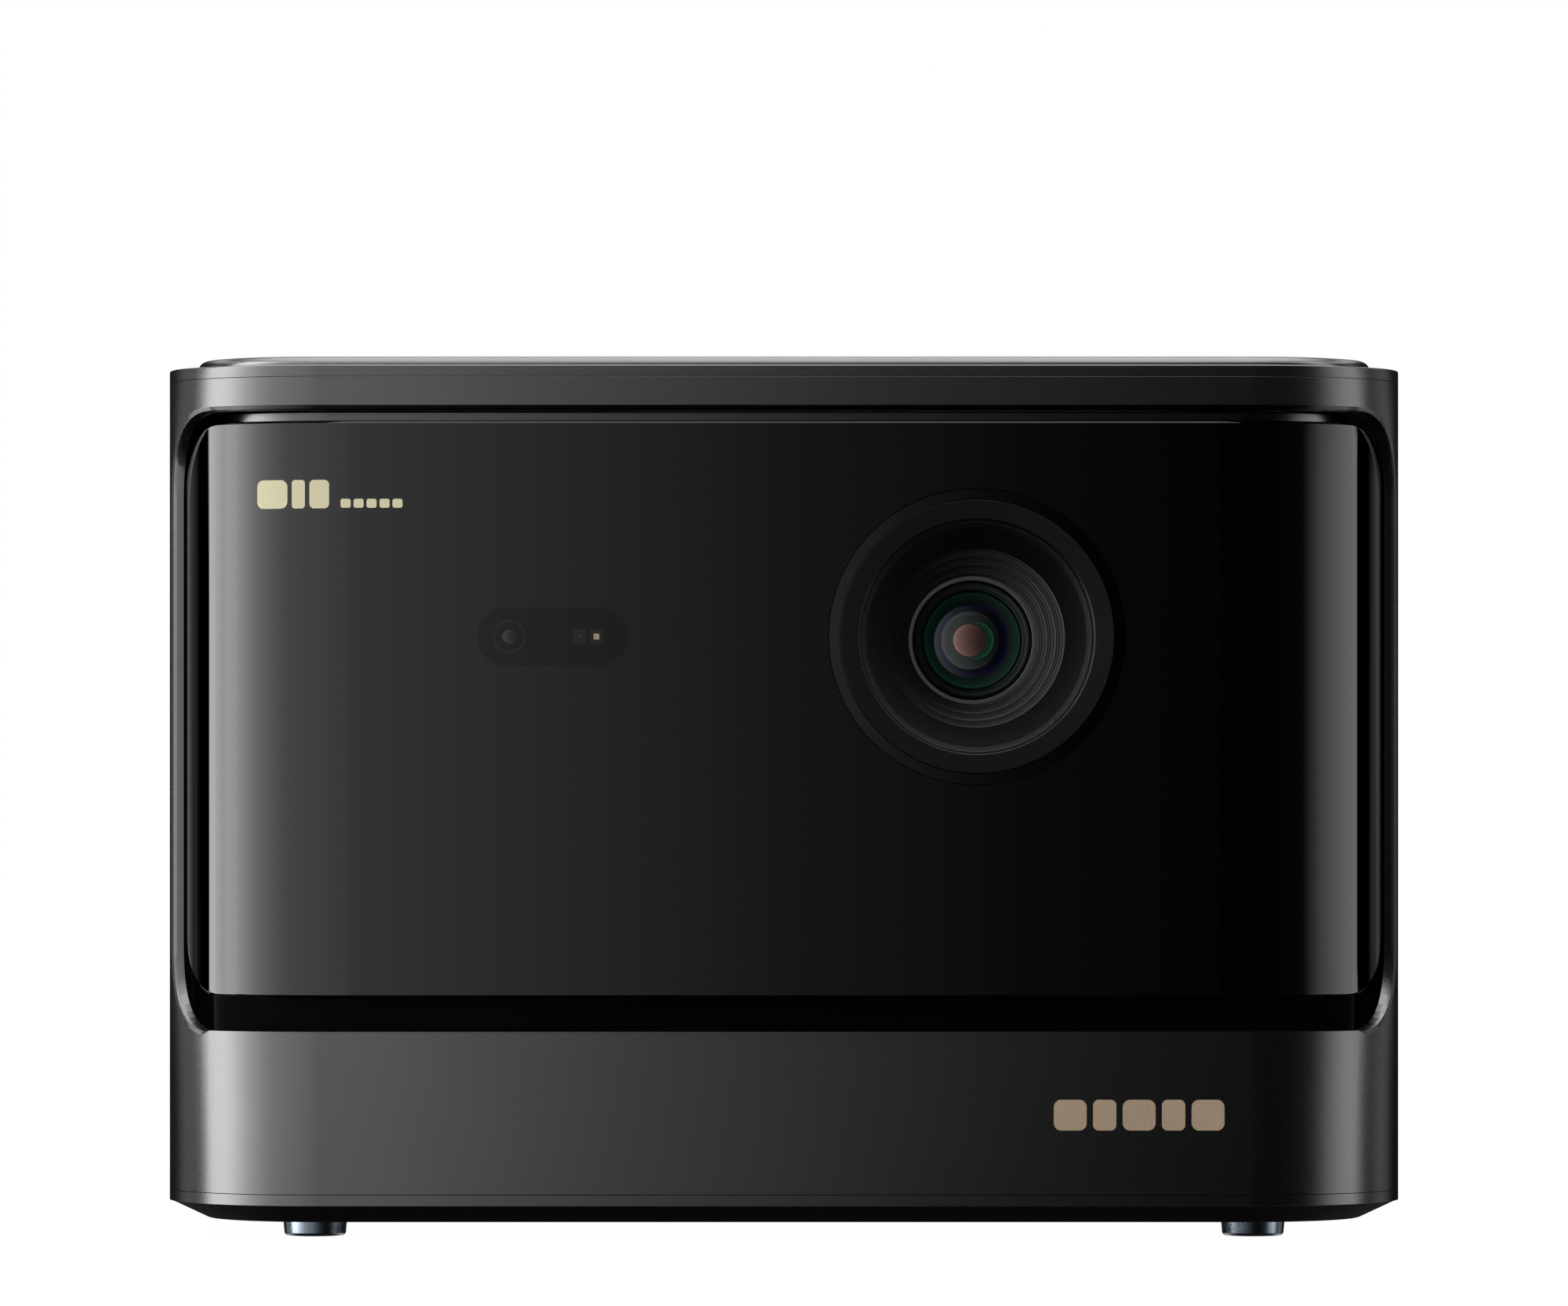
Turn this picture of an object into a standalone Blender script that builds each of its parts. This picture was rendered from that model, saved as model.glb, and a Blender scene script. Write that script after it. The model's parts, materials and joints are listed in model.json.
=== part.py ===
"""Home projector: housing, front glass, lens group, light engine, cooling, sound and ports.

Frame: +Z up, the floor at z = 0 under the feet, the plan centre at x = y = 0.
The lens looks along -Y, and +X is to the right of someone facing the lens.
"""
import math

import bmesh
import bpy
from mathutils import Vector

MM = 0.001

# Housing
WIDTH = 236.0 * MM
DEPTH = 201.5 * MM
HEIGHT = 167.6 * MM
CORNER_RADIUS = 30.0 * MM
WALL = 2.5 * MM
SEAM = 0.3 * MM
FIT = 0.3 * MM
CUT_OVER = 2.0 * MM
CORNER_STEPS = 6
LARGE_ROUND = 40
MIDDLE_ROUND = 28
SMALL_ROUND = 16

# Base, feet and their screws
FOOT_REVEAL = 3.5 * MM
BASE_CHAMFER_RUN = 7.5 * MM
BASE_CHAMFER_RISE = 3.4 * MM
RIM_HEIGHT = 2.1 * MM
RIM_WALL = 5.0 * MM
TRAY_FLOOR = 3.0 * MM
TRAY_LIP = 2.0 * MM
TRAY_LIP_WALL = 3.0 * MM
FOOT_TOP_RADIUS = 6.2 * MM
FOOT_BOTTOM_RADIUS = 5.8 * MM
FOOT_EDGE = 0.6 * MM
FOOT_SEAT = 0.8 * MM
FOOT_INSET = 28.0 * MM
SCREW_INSET_X = 42.0 * MM
SCREW_INSET_Y = 40.0 * MM
SCREW_HEAD_RADIUS = 2.8 * MM
SCREW_HEAD_HEIGHT = 1.3 * MM
SCREW_SHANK_RADIUS = 1.4 * MM
SCREW_LENGTH = 5.5 * MM
SCREW_SOCKET_RADIUS = 1.4 * MM
SCREW_SOCKET_DEPTH = 0.8 * MM
SCREW_CLEARANCE = 0.3 * MM
TRIPOD_BORE_RADIUS = 3.1 * MM
TRIPOD_BORE_DEPTH = 7.0 * MM
TRIPOD_WALL = 1.9 * MM
TRIPOD_FLANGE = 2.0 * MM
TRIPOD_FLANGE_HEIGHT = 0.8 * MM
TRIPOD_FLOOR = 1.0 * MM
TRIPOD_BOSS_WALL = 3.5 * MM
INTAKE_SLOTS = 6
INTAKE_SLOT_WIDTH = 3.0 * MM
INTAKE_SLOT_LENGTH = 34.0 * MM
INTAKE_PITCH = 7.6 * MM
INTAKE_OFFSET = 42.0 * MM

# Top cover and top plate
COVER_EDGE = 2.25 * MM
COVER_CHAMFER = 0.7 * MM
PLATE_REVEAL = 1.85 * MM
PLATE_INSET = 5.5 * MM
PLATE_SEAT = 1.0 * MM
PLATE_EDGE = 1.1 * MM

# Front recess and glass
RECESS_ABOVE_SEAM = 30.8 * MM
RECESS_BELOW_SEAM = 5.3 * MM
RECESS_DEPTH = 23.0 * MM
RECESS_CORNER = 14.5 * MM
GLASS_SETBACK = 2.8 * MM
GLASS_THICKNESS = 2.0 * MM
GLASS_ABOVE_RECESS = 6.4 * MM
GLASS_BELOW_RECESS = 2.9 * MM
GLASS_SIDE_GAP = 0.45 * MM
GLASS_CORNER = 13.0 * MM
GLASS_HOLE_RADIUS = 28.15 * MM

# Front bezel behind the glass
BEZEL_SIDE_INSET = 9.8 * MM
BEZEL_ABOVE_RECESS = 1.6 * MM
BEZEL_BELOW_RECESS = 1.1 * MM
BEZEL_CORNER = 4.3 * MM
BEZEL_WALL = 3.0 * MM
BEZEL_LENGTH = 33.0 * MM
BEZEL_LEG_WIDTH = 10.0 * MM
BEZEL_LEG_LENGTH = 14.0 * MM
BEZEL_LEG_INSET = 2.0 * MM

# Lens: distances back from the glass's front face, and radii
LENS_X = 36.5 * MM
LENS_BELOW_SEAM = 49.05 * MM
TRIM_SATIN_OUTER = 25.8 * MM
TRIM_SATIN_INNER = 22.1 * MM
TRIM_DISH = 1.5 * MM
TRIM_SETBACK = 0.3 * MM
TRIM_SLOPE = 0.9 * MM
TRIM_EDGE = 0.4 * MM
TRIM_LENGTH = 5.0 * MM
HOOD_FLANGE_RADIUS = GLASS_HOLE_RADIUS + 2.85 * MM
HOOD_FLANGE_THICKNESS = 2.0 * MM
HOOD_MOUTH_RADIUS = 21.9 * MM
HOOD_THROAT_RADIUS = 17.0 * MM
HOOD_EXIT_RADIUS = 12.3 * MM
HOOD_THROAT_DEPTH = 15.0 * MM
HOOD_EXIT_DEPTH = 40.0 * MM
HOOD_WALL = 2.2 * MM
HOOD_BACK_OFFSET = 1.0 * MM
RETAINER_RADIUS = 14.3 * MM
RETAINER_OPENING = 9.9 * MM
RETAINER_LENGTH = 2.2 * MM
BARREL_BORE = 11.1 * MM
BARREL_WALL = 4.4 * MM
BARREL_LENGTH = 31.4 * MM
ELEMENT_SAG = 1.5 * MM
ELEMENT_EDGE = 2.6 * MM
ELEMENT_CROWN = 0.97
MIDDLE_ELEMENT_BACK = 12.0 * MM
REAR_ELEMENT_BACK = 25.0 * MM
FLANGE_RADIUS = 26.0 * MM
FLANGE_BORE = 9.5 * MM
FLANGE_THICKNESS = 3.0 * MM

# Focus drive
GEAR_MODULE = 0.96 * MM
RING_TEETH = 40
PINION_TEETH = 10
GEAR_BACKLASH = 0.25 * MM
RING_BACK = 8.0 * MM
RING_WIDTH = 8.0 * MM
PINION_WIDTH = 9.0 * MM
PINION_ANGLE = math.radians(225.0)
PINION_SHAFT_RADIUS = 1.0 * MM
PINION_SHAFT_LENGTH = 2.0 * MM
MOTOR_RADIUS = 6.5 * MM
MOTOR_BOSS_RADIUS = 2.6 * MM
MOTOR_BOSS_LENGTH = 1.0 * MM

# Sensor window
PILL_X = -43.7 * MM
PILL_HALF_WIDTH = 14.3 * MM
PILL_HALF_HEIGHT = 5.5 * MM
PILL_ROUNDNESS = 0.98
SENSOR_SETBACK = 0.2 * MM
CARRIER_LENGTH = 9.0 * MM
CAMERA_X = -51.9 * MM
CAMERA_RADIUS = 3.1 * MM
CAMERA_PUPIL = 1.25 * MM
CAMERA_DISH = 1.4 * MM
CAMERA_PUPIL_RISE = 0.3 * MM
CAMERA_RIM = 0.5 * MM
CAMERA_LENGTH = 6.0 * MM
TOF_LEFT_X = -38.6 * MM
TOF_RIGHT_X = -35.45 * MM
TOF_WINDOW = 2.5 * MM
TOF_MARGIN = 0.35 * MM
TOF_WINDOW_DEPTH = 0.5 * MM
TOF_LENGTH = 4.0 * MM

# Light engine
ENGINE_HALF_WIDTH = 32.0 * MM
ENGINE_HALF_HEIGHT = 29.0 * MM
ENGINE_REAR_SPACE = 60.0 * MM
ENGINE_EDGE = 2.0 * MM
ENGINE_BORE = 12.0 * MM
ENGINE_BORE_DEPTH = 12.0 * MM
BOARD_THICKNESS = 1.6 * MM
CHIP_BOARD_HALF = 28.0 * MM
CHIP_SINK_HALF = 25.0 * MM
CHIP_SINK_BASE = 4.0 * MM
CHIP_SINK_LENGTH = 16.0 * MM
CHIP_SINK_GAPS = 8
CHIP_SINK_GAP_WIDTH = 3.2 * MM
LASER_WIDTH = 40.0 * MM
LASER_LENGTH = 38.0 * MM
LASER_HALF_HEIGHT = 21.0 * MM
LASER_EDGE = 1.5 * MM
LASER_CAP_RADIUS = 8.0 * MM
LASER_CAP_HEIGHT = 5.0 * MM

# Cooling
FAN_SIZE = 70.0 * MM
FAN_THICKNESS = 15.0 * MM
FAN_CORNER = 5.0 * MM
FAN_RIM = 2.0 * MM
FAN_HUB_RADIUS = 14.0 * MM
FAN_HUB_LENGTH = 9.5 * MM
FAN_BLADES = 7
FAN_TIP_GAP = 1.5 * MM
BLADE_SHARE = 0.84
BLADE_THICKNESS = 1.8 * MM
# Blade stations outwards from the hub: share of the way to the tip, sweep and half pitch in degrees
BLADE_STAGES = ((0.5, 8, 8), (1.0, 20, 11))
FAN_STRUT_WIDTH = 3.0 * MM
FAN_STRUT_THICKNESS = 2.5 * MM
FAN_BELOW_SEAM = 55.5 * MM
FAN_WALL_GAP = 3.5 * MM
EXHAUST_CORNER_GAP = 1.5 * MM
INTAKE_FAN_Y = 25.0 * MM
SINK_LENGTH = 30.0 * MM
SINK_FAN_GAP = 1.0 * MM
SINK_SIDE_GAP = 7.5 * MM
SINK_LASER_GAP = 14.0 * MM
SINK_HALF_HEIGHT = FAN_SIZE / 2 - 1.0 * MM
SINK_FIN = 1.6 * MM
SINK_PITCH = 7.6 * MM
SINK_SPINE = 3.0 * MM
PIPE_RADIUS = 3.0 * MM
PIPE_SHIFT = 6.5 * MM
PIPE_SPREAD = 9.0 * MM

# Main board, ports and rear panel
MAIN_BOARD_Z = 11.0 * MM
MAIN_BOARD_FRONT = 52.0 * MM
STANDOFF_RADIUS = 3.0 * MM
# Chips on the main board: x, y from the board's middle, half width, height
MAIN_CHIPS = ((-30.0 * MM, 10.0 * MM, 12.0 * MM, 3.0 * MM), (18.0 * MM, -8.0 * MM, 9.0 * MM, 2.0 * MM),
              (42.0 * MM, 20.0 * MM, 7.0 * MM, 2.0 * MM))
PANEL_SIDE_INSET = 32.0 * MM
PANEL_ABOVE_SEAM = 5.0 * MM
PANEL_HEIGHT = 42.0 * MM
PANEL_CORNER = 8.0 * MM
PANEL_BACKING = 1.5 * MM
REAR_GRILLE_BELOW_SEAM = 15.5 * MM
PORT_GAP = 3.5 * MM
PORT_DEPTH = 14.0 * MM
PORT_WALL = 0.8 * MM
PORT_FLOOR = 2.0 * MM
BUTTON_RADIUS = 4.6 * MM
BUTTON_SINK = 0.1 * MM
BUTTON_TRAVEL = 0.8 * MM
BUTTON_FLANGE = 1.4 * MM
BUTTON_STEM_RADIUS = 1.5 * MM
BUTTON_STEM_LENGTH = 3.0 * MM
BUTTON_SIDE_INSET = 9.0 * MM
BUTTON_ABOVE_PANEL = 33.0 * MM
BUTTON_BOARD_HALF = 7.0 * MM

# Side grilles and loudspeakers
GRILLE_FRONT_INSET = 45.0 * MM
GRILLE_REAR_INSET = 33.0 * MM
GRILLE_ABOVE_SEAM = 15.0 * MM
GRILLE_BELOW_SEAM = 15.5 * MM
GRILLE_CORNER = 8.0 * MM
GRILLE_MARGIN = 7.0 * MM
SLOT_WIDTH = 3.6 * MM
SLOT_PITCH = 8.0 * MM
SPEAKER_HALF_LENGTH = 50.0 * MM
SPEAKER_WALL = 2.0 * MM
SPEAKER_GAP = 3.0 * MM
CONE_RADIUS = 21.0 * MM
CONE_DEPTH = 8.0 * MM
CONE_THICKNESS = 1.0 * MM
CONE_CAP_RADIUS = 7.0 * MM
CONE_TRAVEL = 1.2 * MM
CONE_CLEARANCE = 0.5 * MM

# Planes and axes worked out from the sizes above
SIDE = WIDTH / 2
FRONT = -DEPTH / 2
REAR = DEPTH / 2
INNER_SIDE = SIDE - WALL
INNER_REAR = REAR - WALL
BASE_Z = FOOT_REVEAL
BAND_Z = BASE_Z + BASE_CHAMFER_RISE
LOWER_SEAM_Z = BAND_Z + RIM_HEIGHT
TRAY_TOP_Z = LOWER_SEAM_Z + TRAY_LIP
COVER_Z = HEIGHT - PLATE_REVEAL
UPPER_SEAM_Z = COVER_Z - COVER_EDGE
RECESS_LOW = LOWER_SEAM_Z + RECESS_ABOVE_SEAM
RECESS_HIGH = UPPER_SEAM_Z - RECESS_BELOW_SEAM
GLASS_FRONT = FRONT + GLASS_SETBACK
GLASS_BACK = GLASS_FRONT + GLASS_THICKNESS
BEZEL_FRONT = GLASS_BACK + FIT
BEZEL_HALF = SIDE - BEZEL_SIDE_INSET
BEZEL_LOW = RECESS_LOW + BEZEL_ABOVE_RECESS
BEZEL_HIGH = RECESS_HIGH - BEZEL_BELOW_RECESS
LENS_Z = UPPER_SEAM_Z - LENS_BELOW_SEAM
BARREL_START = HOOD_EXIT_DEPTH + FIT + RETAINER_LENGTH + FIT
BARREL_RADIUS = BARREL_BORE + BARREL_WALL
FLANGE_START = BARREL_START + BARREL_LENGTH + FIT
ENGINE_FRONT = GLASS_FRONT + FLANGE_START + FLANGE_THICKNESS + FIT
ENGINE_REAR = INNER_REAR - ENGINE_REAR_SPACE
RING_PITCH_RADIUS = GEAR_MODULE * RING_TEETH / 2
GEAR_DISTANCE = GEAR_MODULE * (RING_TEETH + PINION_TEETH) / 2 + GEAR_BACKLASH
PINION_X = LENS_X + GEAR_DISTANCE * math.cos(PINION_ANGLE)
PINION_Z = LENS_Z + GEAR_DISTANCE * math.sin(PINION_ANGLE)
RING_START = BARREL_START + RING_BACK
PANEL_INNER = REAR - WALL - PANEL_BACKING
GRILLE_INNER = SIDE - WALL - PANEL_BACKING
FAN_Z = UPPER_SEAM_Z - FAN_BELOW_SEAM
EXHAUST_REAR = PANEL_INNER - FAN_WALL_GAP
EXHAUST_REACH = math.sqrt((CORNER_RADIUS - WALL) ** 2 - (EXHAUST_REAR - REAR + CORNER_RADIUS) ** 2)
EXHAUST_X = -(SIDE - CORNER_RADIUS + EXHAUST_REACH - EXHAUST_CORNER_GAP - FAN_SIZE / 2)
INTAKE_RIGHT = GRILLE_INNER - FAN_WALL_GAP
SINK_REAR = EXHAUST_REAR - FAN_THICKNESS - SINK_FAN_GAP
SINK_PIPE_Y = SINK_REAR - SINK_LENGTH / 2
LASER_RIGHT = LENS_X - ENGINE_HALF_WIDTH - FIT
LASER_LEFT = LASER_RIGHT - LASER_WIDTH
LASER_REAR = SINK_PIPE_Y - PIPE_SHIFT - PIPE_RADIUS - FIT
SINK_RIGHT = LASER_LEFT - SINK_LASER_GAP
SINK_LEFT = -(INNER_SIDE - SINK_SIDE_GAP)
PANEL_HALF = SIDE - PANEL_SIDE_INSET
PANEL_LOW = LOWER_SEAM_Z + PANEL_ABOVE_SEAM
PANEL_TOP = PANEL_LOW + PANEL_HEIGHT
REAR_OPENING_TOP = UPPER_SEAM_Z - REAR_GRILLE_BELOW_SEAM
BOARD_LOW = TRAY_TOP_Z + MAIN_BOARD_Z
BOARD_TOP = BOARD_LOW + BOARD_THICKNESS
PORT_LOW = BOARD_TOP + FIT
GRILLE_START = FRONT + GRILLE_FRONT_INSET
GRILLE_END = REAR - GRILLE_REAR_INSET
GRILLE_LOW = LOWER_SEAM_Z + GRILLE_ABOVE_SEAM
GRILLE_HIGH = UPPER_SEAM_Z - GRILLE_BELOW_SEAM
SPEAKER_TOP = FAN_Z - FAN_SIZE / 2 - SPEAKER_GAP
SPEAKER_LOW = TRAY_TOP_Z + FIT
SPEAKER_OUTER = GRILLE_INNER - CONE_TRAVEL - CONE_CLEARANCE
SPEAKER_Z = (SPEAKER_LOW + SPEAKER_TOP) / 2

# Sockets from left to right: name, outer width, outer height
SOCKETS = (
    ("lan_port", 16.4 * MM, 13.6 * MM),
    ("hdmi_port_1", 15.8 * MM, 6.3 * MM),
    ("hdmi_port_2", 15.8 * MM, 6.3 * MM),
    ("usb_port_1", 14.4 * MM, 7.0 * MM),
    ("usb_port_2", 14.4 * MM, 7.0 * MM),
    ("optical_port", 9.6 * MM, 9.6 * MM),
)
DC_RADIUS = 5.6 * MM
DC_BORE = 3.3 * MM
DC_PIN = 1.1 * MM
AUDIO_RADIUS = 4.0 * MM
AUDIO_BORE = 1.8 * MM
PORT_ROW = (2 * DC_RADIUS + sum(width for _, width, _ in SOCKETS) + 2 * AUDIO_RADIUS
            + PORT_GAP * (len(SOCKETS) + 1))
BOARD_HALF = PORT_ROW / 2 + PORT_GAP
SPEAKER_INNER = BOARD_HALF + SPEAKER_GAP

# Finishes: base colour, roughness, metallic
GUNMETAL = ((0.055, 0.056, 0.060), 0.34, 0.85)
GLOSS_BLACK = ((0.006, 0.006, 0.007), 0.05, 0.0)
MATTE_BLACK = ((0.018, 0.018, 0.019), 0.55, 0.0)
SATIN_BLACK = ((0.030, 0.030, 0.032), 0.32, 0.4)
GREY_PLASTIC = ((0.11, 0.11, 0.115), 0.5, 0.0)
FOOT_GREY = ((0.36, 0.40, 0.46), 0.35, 0.2)
STEEL = ((0.55, 0.55, 0.56), 0.28, 1.0)
ALUMINIUM = ((0.62, 0.63, 0.65), 0.35, 1.0)
COPPER = ((0.72, 0.36, 0.22), 0.3, 1.0)
BRASS = ((0.72, 0.55, 0.25), 0.3, 1.0)
BOARD_GREEN = ((0.02, 0.11, 0.05), 0.45, 0.0)
LENS_GLASS = ((0.30, 0.42, 0.40), 0.03, 0.0)


def place(axis, u, v, w):
    """Point at in-plane coordinates u, v and height w along the axis."""
    return {"X": Vector((w, u, v)), "Y": Vector((u, w, v)), "Z": Vector((u, v, w))}[axis]


def rounded_rect(u_low, u_high, v_low, v_high, radius, steps=CORNER_STEPS):
    """Rectangle with round corners, anticlockwise from the lower right corner.

    radius is one value, or four for lower right, upper right, upper left, lower left.
    """
    radii = radius if isinstance(radius, tuple) else (radius,) * 4
    corners = ((u_high, v_low, -1, 1), (u_high, v_high, -1, -1), (u_low, v_high, 1, -1),
               (u_low, v_low, 1, 1))
    points = []
    for turn, ((u, v, u_in, v_in), r) in enumerate(zip(corners, radii)):
        for step in range(steps + 1):
            angle = math.radians(90) * (turn - 1 + step / steps)
            points.append((u + u_in * r + r * math.cos(angle), v + v_in * r + r * math.sin(angle)))
    return points


def rectangle(u_low, u_high, v_low, v_high):
    """Rectangle with sharp corners."""
    return [(u_high, v_low), (u_high, v_high), (u_low, v_high), (u_low, v_low)]


def circle(u, v, radius, steps):
    """Round outline."""
    angles = (math.tau * step / steps for step in range(steps))
    return [(u + radius * math.cos(a), v + radius * math.sin(a)) for a in angles]


def gear_outline(u, v, teeth, phase):
    """Outline of a gear whose first tooth is centred on the phase angle."""
    pitch_radius = GEAR_MODULE * teeth / 2
    tip = pitch_radius + 0.85 * GEAR_MODULE
    root = pitch_radius - 1.1 * GEAR_MODULE
    pitch = math.tau / teeth
    points = []
    for tooth in range(teeth):
        for radius, offset in ((root, -0.32), (tip, -0.12), (tip, 0.12), (root, 0.32)):
            angle = phase + (tooth + offset) * pitch
            points.append((u + radius * math.cos(angle), v + radius * math.sin(angle)))
    return points


def housing_outline(inset):
    """Plan outline of the housing, moved inwards by inset."""
    return rounded_rect(-SIDE + inset, SIDE - inset, FRONT + inset, REAR - inset, CORNER_RADIUS - inset)


def stack(axis, *layers):
    """Closed body extruded through (outline, height) layers of equal point counts."""
    body = bmesh.new()
    first_outline, first_height = layers[0]
    first = [body.verts.new(place(axis, u, v, first_height)) for u, v in first_outline]
    face = body.faces.new(first)
    for outline, height in layers[1:]:
        face = bmesh.ops.extrude_discrete_faces(body, faces=[face])["faces"][0]
        for vert, (u, v) in zip(face.verts, outline):
            vert.co = place(axis, u, v, height)
    body.faces.new(list(reversed(first)))
    bmesh.ops.recalc_face_normals(body, faces=body.faces)
    return body


def prism(axis, outline, low, high):
    """Outline extruded from one height to another."""
    return stack(axis, (outline, low), (outline, high))


def box(x_low, x_high, y_low, y_high, z_low, z_high):
    """Plain block."""
    return prism("Z", rectangle(x_low, x_high, y_low, y_high), z_low, z_high)


def turned(axis, u, v, profile, steps):
    """Body turned about the axis through u, v from (radius, height) points.

    A profile that starts and ends on the axis stays open, any other is closed.
    """
    body = bmesh.new()
    verts = [body.verts.new(place(axis, u + radius, v, height)) for radius, height in profile]
    edges = [body.edges.new(pair) for pair in zip(verts, verts[1:])]
    if profile[0][0] > 0:
        edges.append(body.edges.new((verts[-1], verts[0])))
    direction = place(axis, 0, 0, 1)
    bmesh.ops.spin(body, geom=verts + edges, cent=place(axis, u, v, 0), axis=direction,
                   angle=math.tau, steps=steps, use_merge=True)
    bmesh.ops.remove_doubles(body, verts=body.verts, dist=1e-7)
    bmesh.ops.recalc_face_normals(body, faces=body.faces)
    return body


def merged(bodies):
    """One bmesh that holds several separate bodies."""
    whole = bmesh.new()
    for body in bodies:
        mesh = bpy.data.meshes.new("merge")
        body.to_mesh(mesh)
        body.free()
        whole.from_mesh(mesh)
        bpy.data.meshes.remove(mesh)
    return whole


def new_object(name, body, origin=None):
    """Scene object from a bmesh, with its origin at a given point."""
    if origin is not None:
        bmesh.ops.translate(body, vec=-Vector(origin), verts=body.verts)
    mesh = bpy.data.meshes.new(name)
    body.to_mesh(mesh)
    body.free()
    thing = bpy.data.objects.new(name, mesh)
    if origin is not None:
        thing.location = origin
    bpy.context.scene.collection.objects.link(thing)
    return thing


def piece(name, body, finish, origin=None, smooth=False):
    """Named piece of the projector with its own material."""
    colour, roughness, metallic = finish
    thing = new_object(name, body, origin)
    material = bpy.data.materials.new(name + "_finish")
    material.use_nodes = True
    shader = material.node_tree.nodes["Principled BSDF"]
    shader.inputs["Base Color"].default_value = (*colour, 1.0)
    shader.inputs["Roughness"].default_value = roughness
    shader.inputs["Metallic"].default_value = metallic
    thing.data.materials.append(material)
    if smooth:
        thing.data.shade_smooth()
        thing.data.set_sharp_from_angle(angle=math.radians(30))
    return thing


def combine(thing, operation, body):
    """Boolean of a piece with a hidden helper body."""
    helper = new_object(thing.name + "_" + operation.lower(), body)
    helper.hide_render = True
    helper.display_type = "WIRE"
    modifier = thing.modifiers.new(operation.title(), "BOOLEAN")
    modifier.operation = operation
    modifier.object = helper


def cut(thing, *bodies):
    """Take separate bodies away from a piece."""
    combine(thing, "DIFFERENCE", merged(bodies))


def add(thing, *bodies):
    """Join bodies to a piece, one after another."""
    for body in bodies:
        combine(thing, "UNION", body)


def chamfer(thing, width):
    """Small flat on every sharp edge of a block."""
    modifier = thing.modifiers.new("Edge", "BEVEL")
    modifier.width = width
    modifier.segments = 1
    modifier.limit_method = "ANGLE"


def recess_outline(gap_low, gap_high, gap_side, radius):
    """Side view of the front opening, as y and z, drawn in by the given gaps."""
    return rounded_rect(FRONT - 2 * RECESS_CORNER, FRONT + RECESS_DEPTH - gap_side,
                        RECESS_LOW + gap_low, RECESS_HIGH - gap_high, radius)


def side_opening(gap):
    """Side view of a side grille's opening, drawn in by a gap."""
    return rounded_rect(GRILLE_START + gap, GRILLE_END - gap, GRILLE_LOW + gap, GRILLE_HIGH - gap,
                        GRILLE_CORNER - gap)


def build_shell():
    """Metal sleeve with the front recess, two side openings and one rear opening."""
    shell = piece("main_shell",
                  prism("Z", housing_outline(0), LOWER_SEAM_Z + SEAM / 2, UPPER_SEAM_Z - SEAM / 2),
                  GUNMETAL, smooth=True)
    cut(shell, prism("Z", housing_outline(WALL), LOWER_SEAM_Z - CUT_OVER, UPPER_SEAM_Z + CUT_OVER))
    cut(shell, prism("X", recess_outline(0, 0, 0, RECESS_CORNER), -SIDE - CUT_OVER, SIDE + CUT_OVER))
    cut(shell, prism("X", side_opening(0), -SIDE - CUT_OVER, SIDE + CUT_OVER))
    rear = rounded_rect(-PANEL_HALF, PANEL_HALF, PANEL_LOW, REAR_OPENING_TOP, PANEL_CORNER)
    cut(shell, prism("Y", rear, INNER_REAR - CUT_OVER, REAR + CUT_OVER))


def build_top():
    """Lid with a shallow seat, and the plate that lies in it."""
    cover = piece("top_cover", stack("Z", (housing_outline(0), UPPER_SEAM_Z + SEAM / 2),
                                     (housing_outline(0), COVER_Z - COVER_CHAMFER),
                                     (housing_outline(COVER_CHAMFER), COVER_Z)), GUNMETAL, smooth=True)
    seat_z = COVER_Z - PLATE_SEAT
    cut(cover, prism("Z", housing_outline(PLATE_INSET - FIT), seat_z, COVER_Z + CUT_OVER))
    piece("top_plate", stack("Z", (housing_outline(PLATE_INSET), seat_z + FIT),
                             (housing_outline(PLATE_INSET), HEIGHT - PLATE_EDGE),
                             (housing_outline(PLATE_INSET + PLATE_EDGE * 0.3), HEIGHT - PLATE_EDGE * 0.3),
                             (housing_outline(PLATE_INSET + PLATE_EDGE), HEIGHT)), SATIN_BLACK, smooth=True)


def intake_slots():
    """Two rows of air slots through the base."""
    slots = []
    for side in (-1, 1):
        for index in range(INTAKE_SLOTS):
            x = side * INTAKE_OFFSET + (index - (INTAKE_SLOTS - 1) / 2) * INTAKE_PITCH
            slots.append(box(x - INTAKE_SLOT_WIDTH / 2, x + INTAKE_SLOT_WIDTH / 2, -INTAKE_SLOT_LENGTH / 2,
                             INTAKE_SLOT_LENGTH / 2, BASE_Z - CUT_OVER, BASE_Z + TRAY_FLOOR + CUT_OVER))
    return slots


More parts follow.
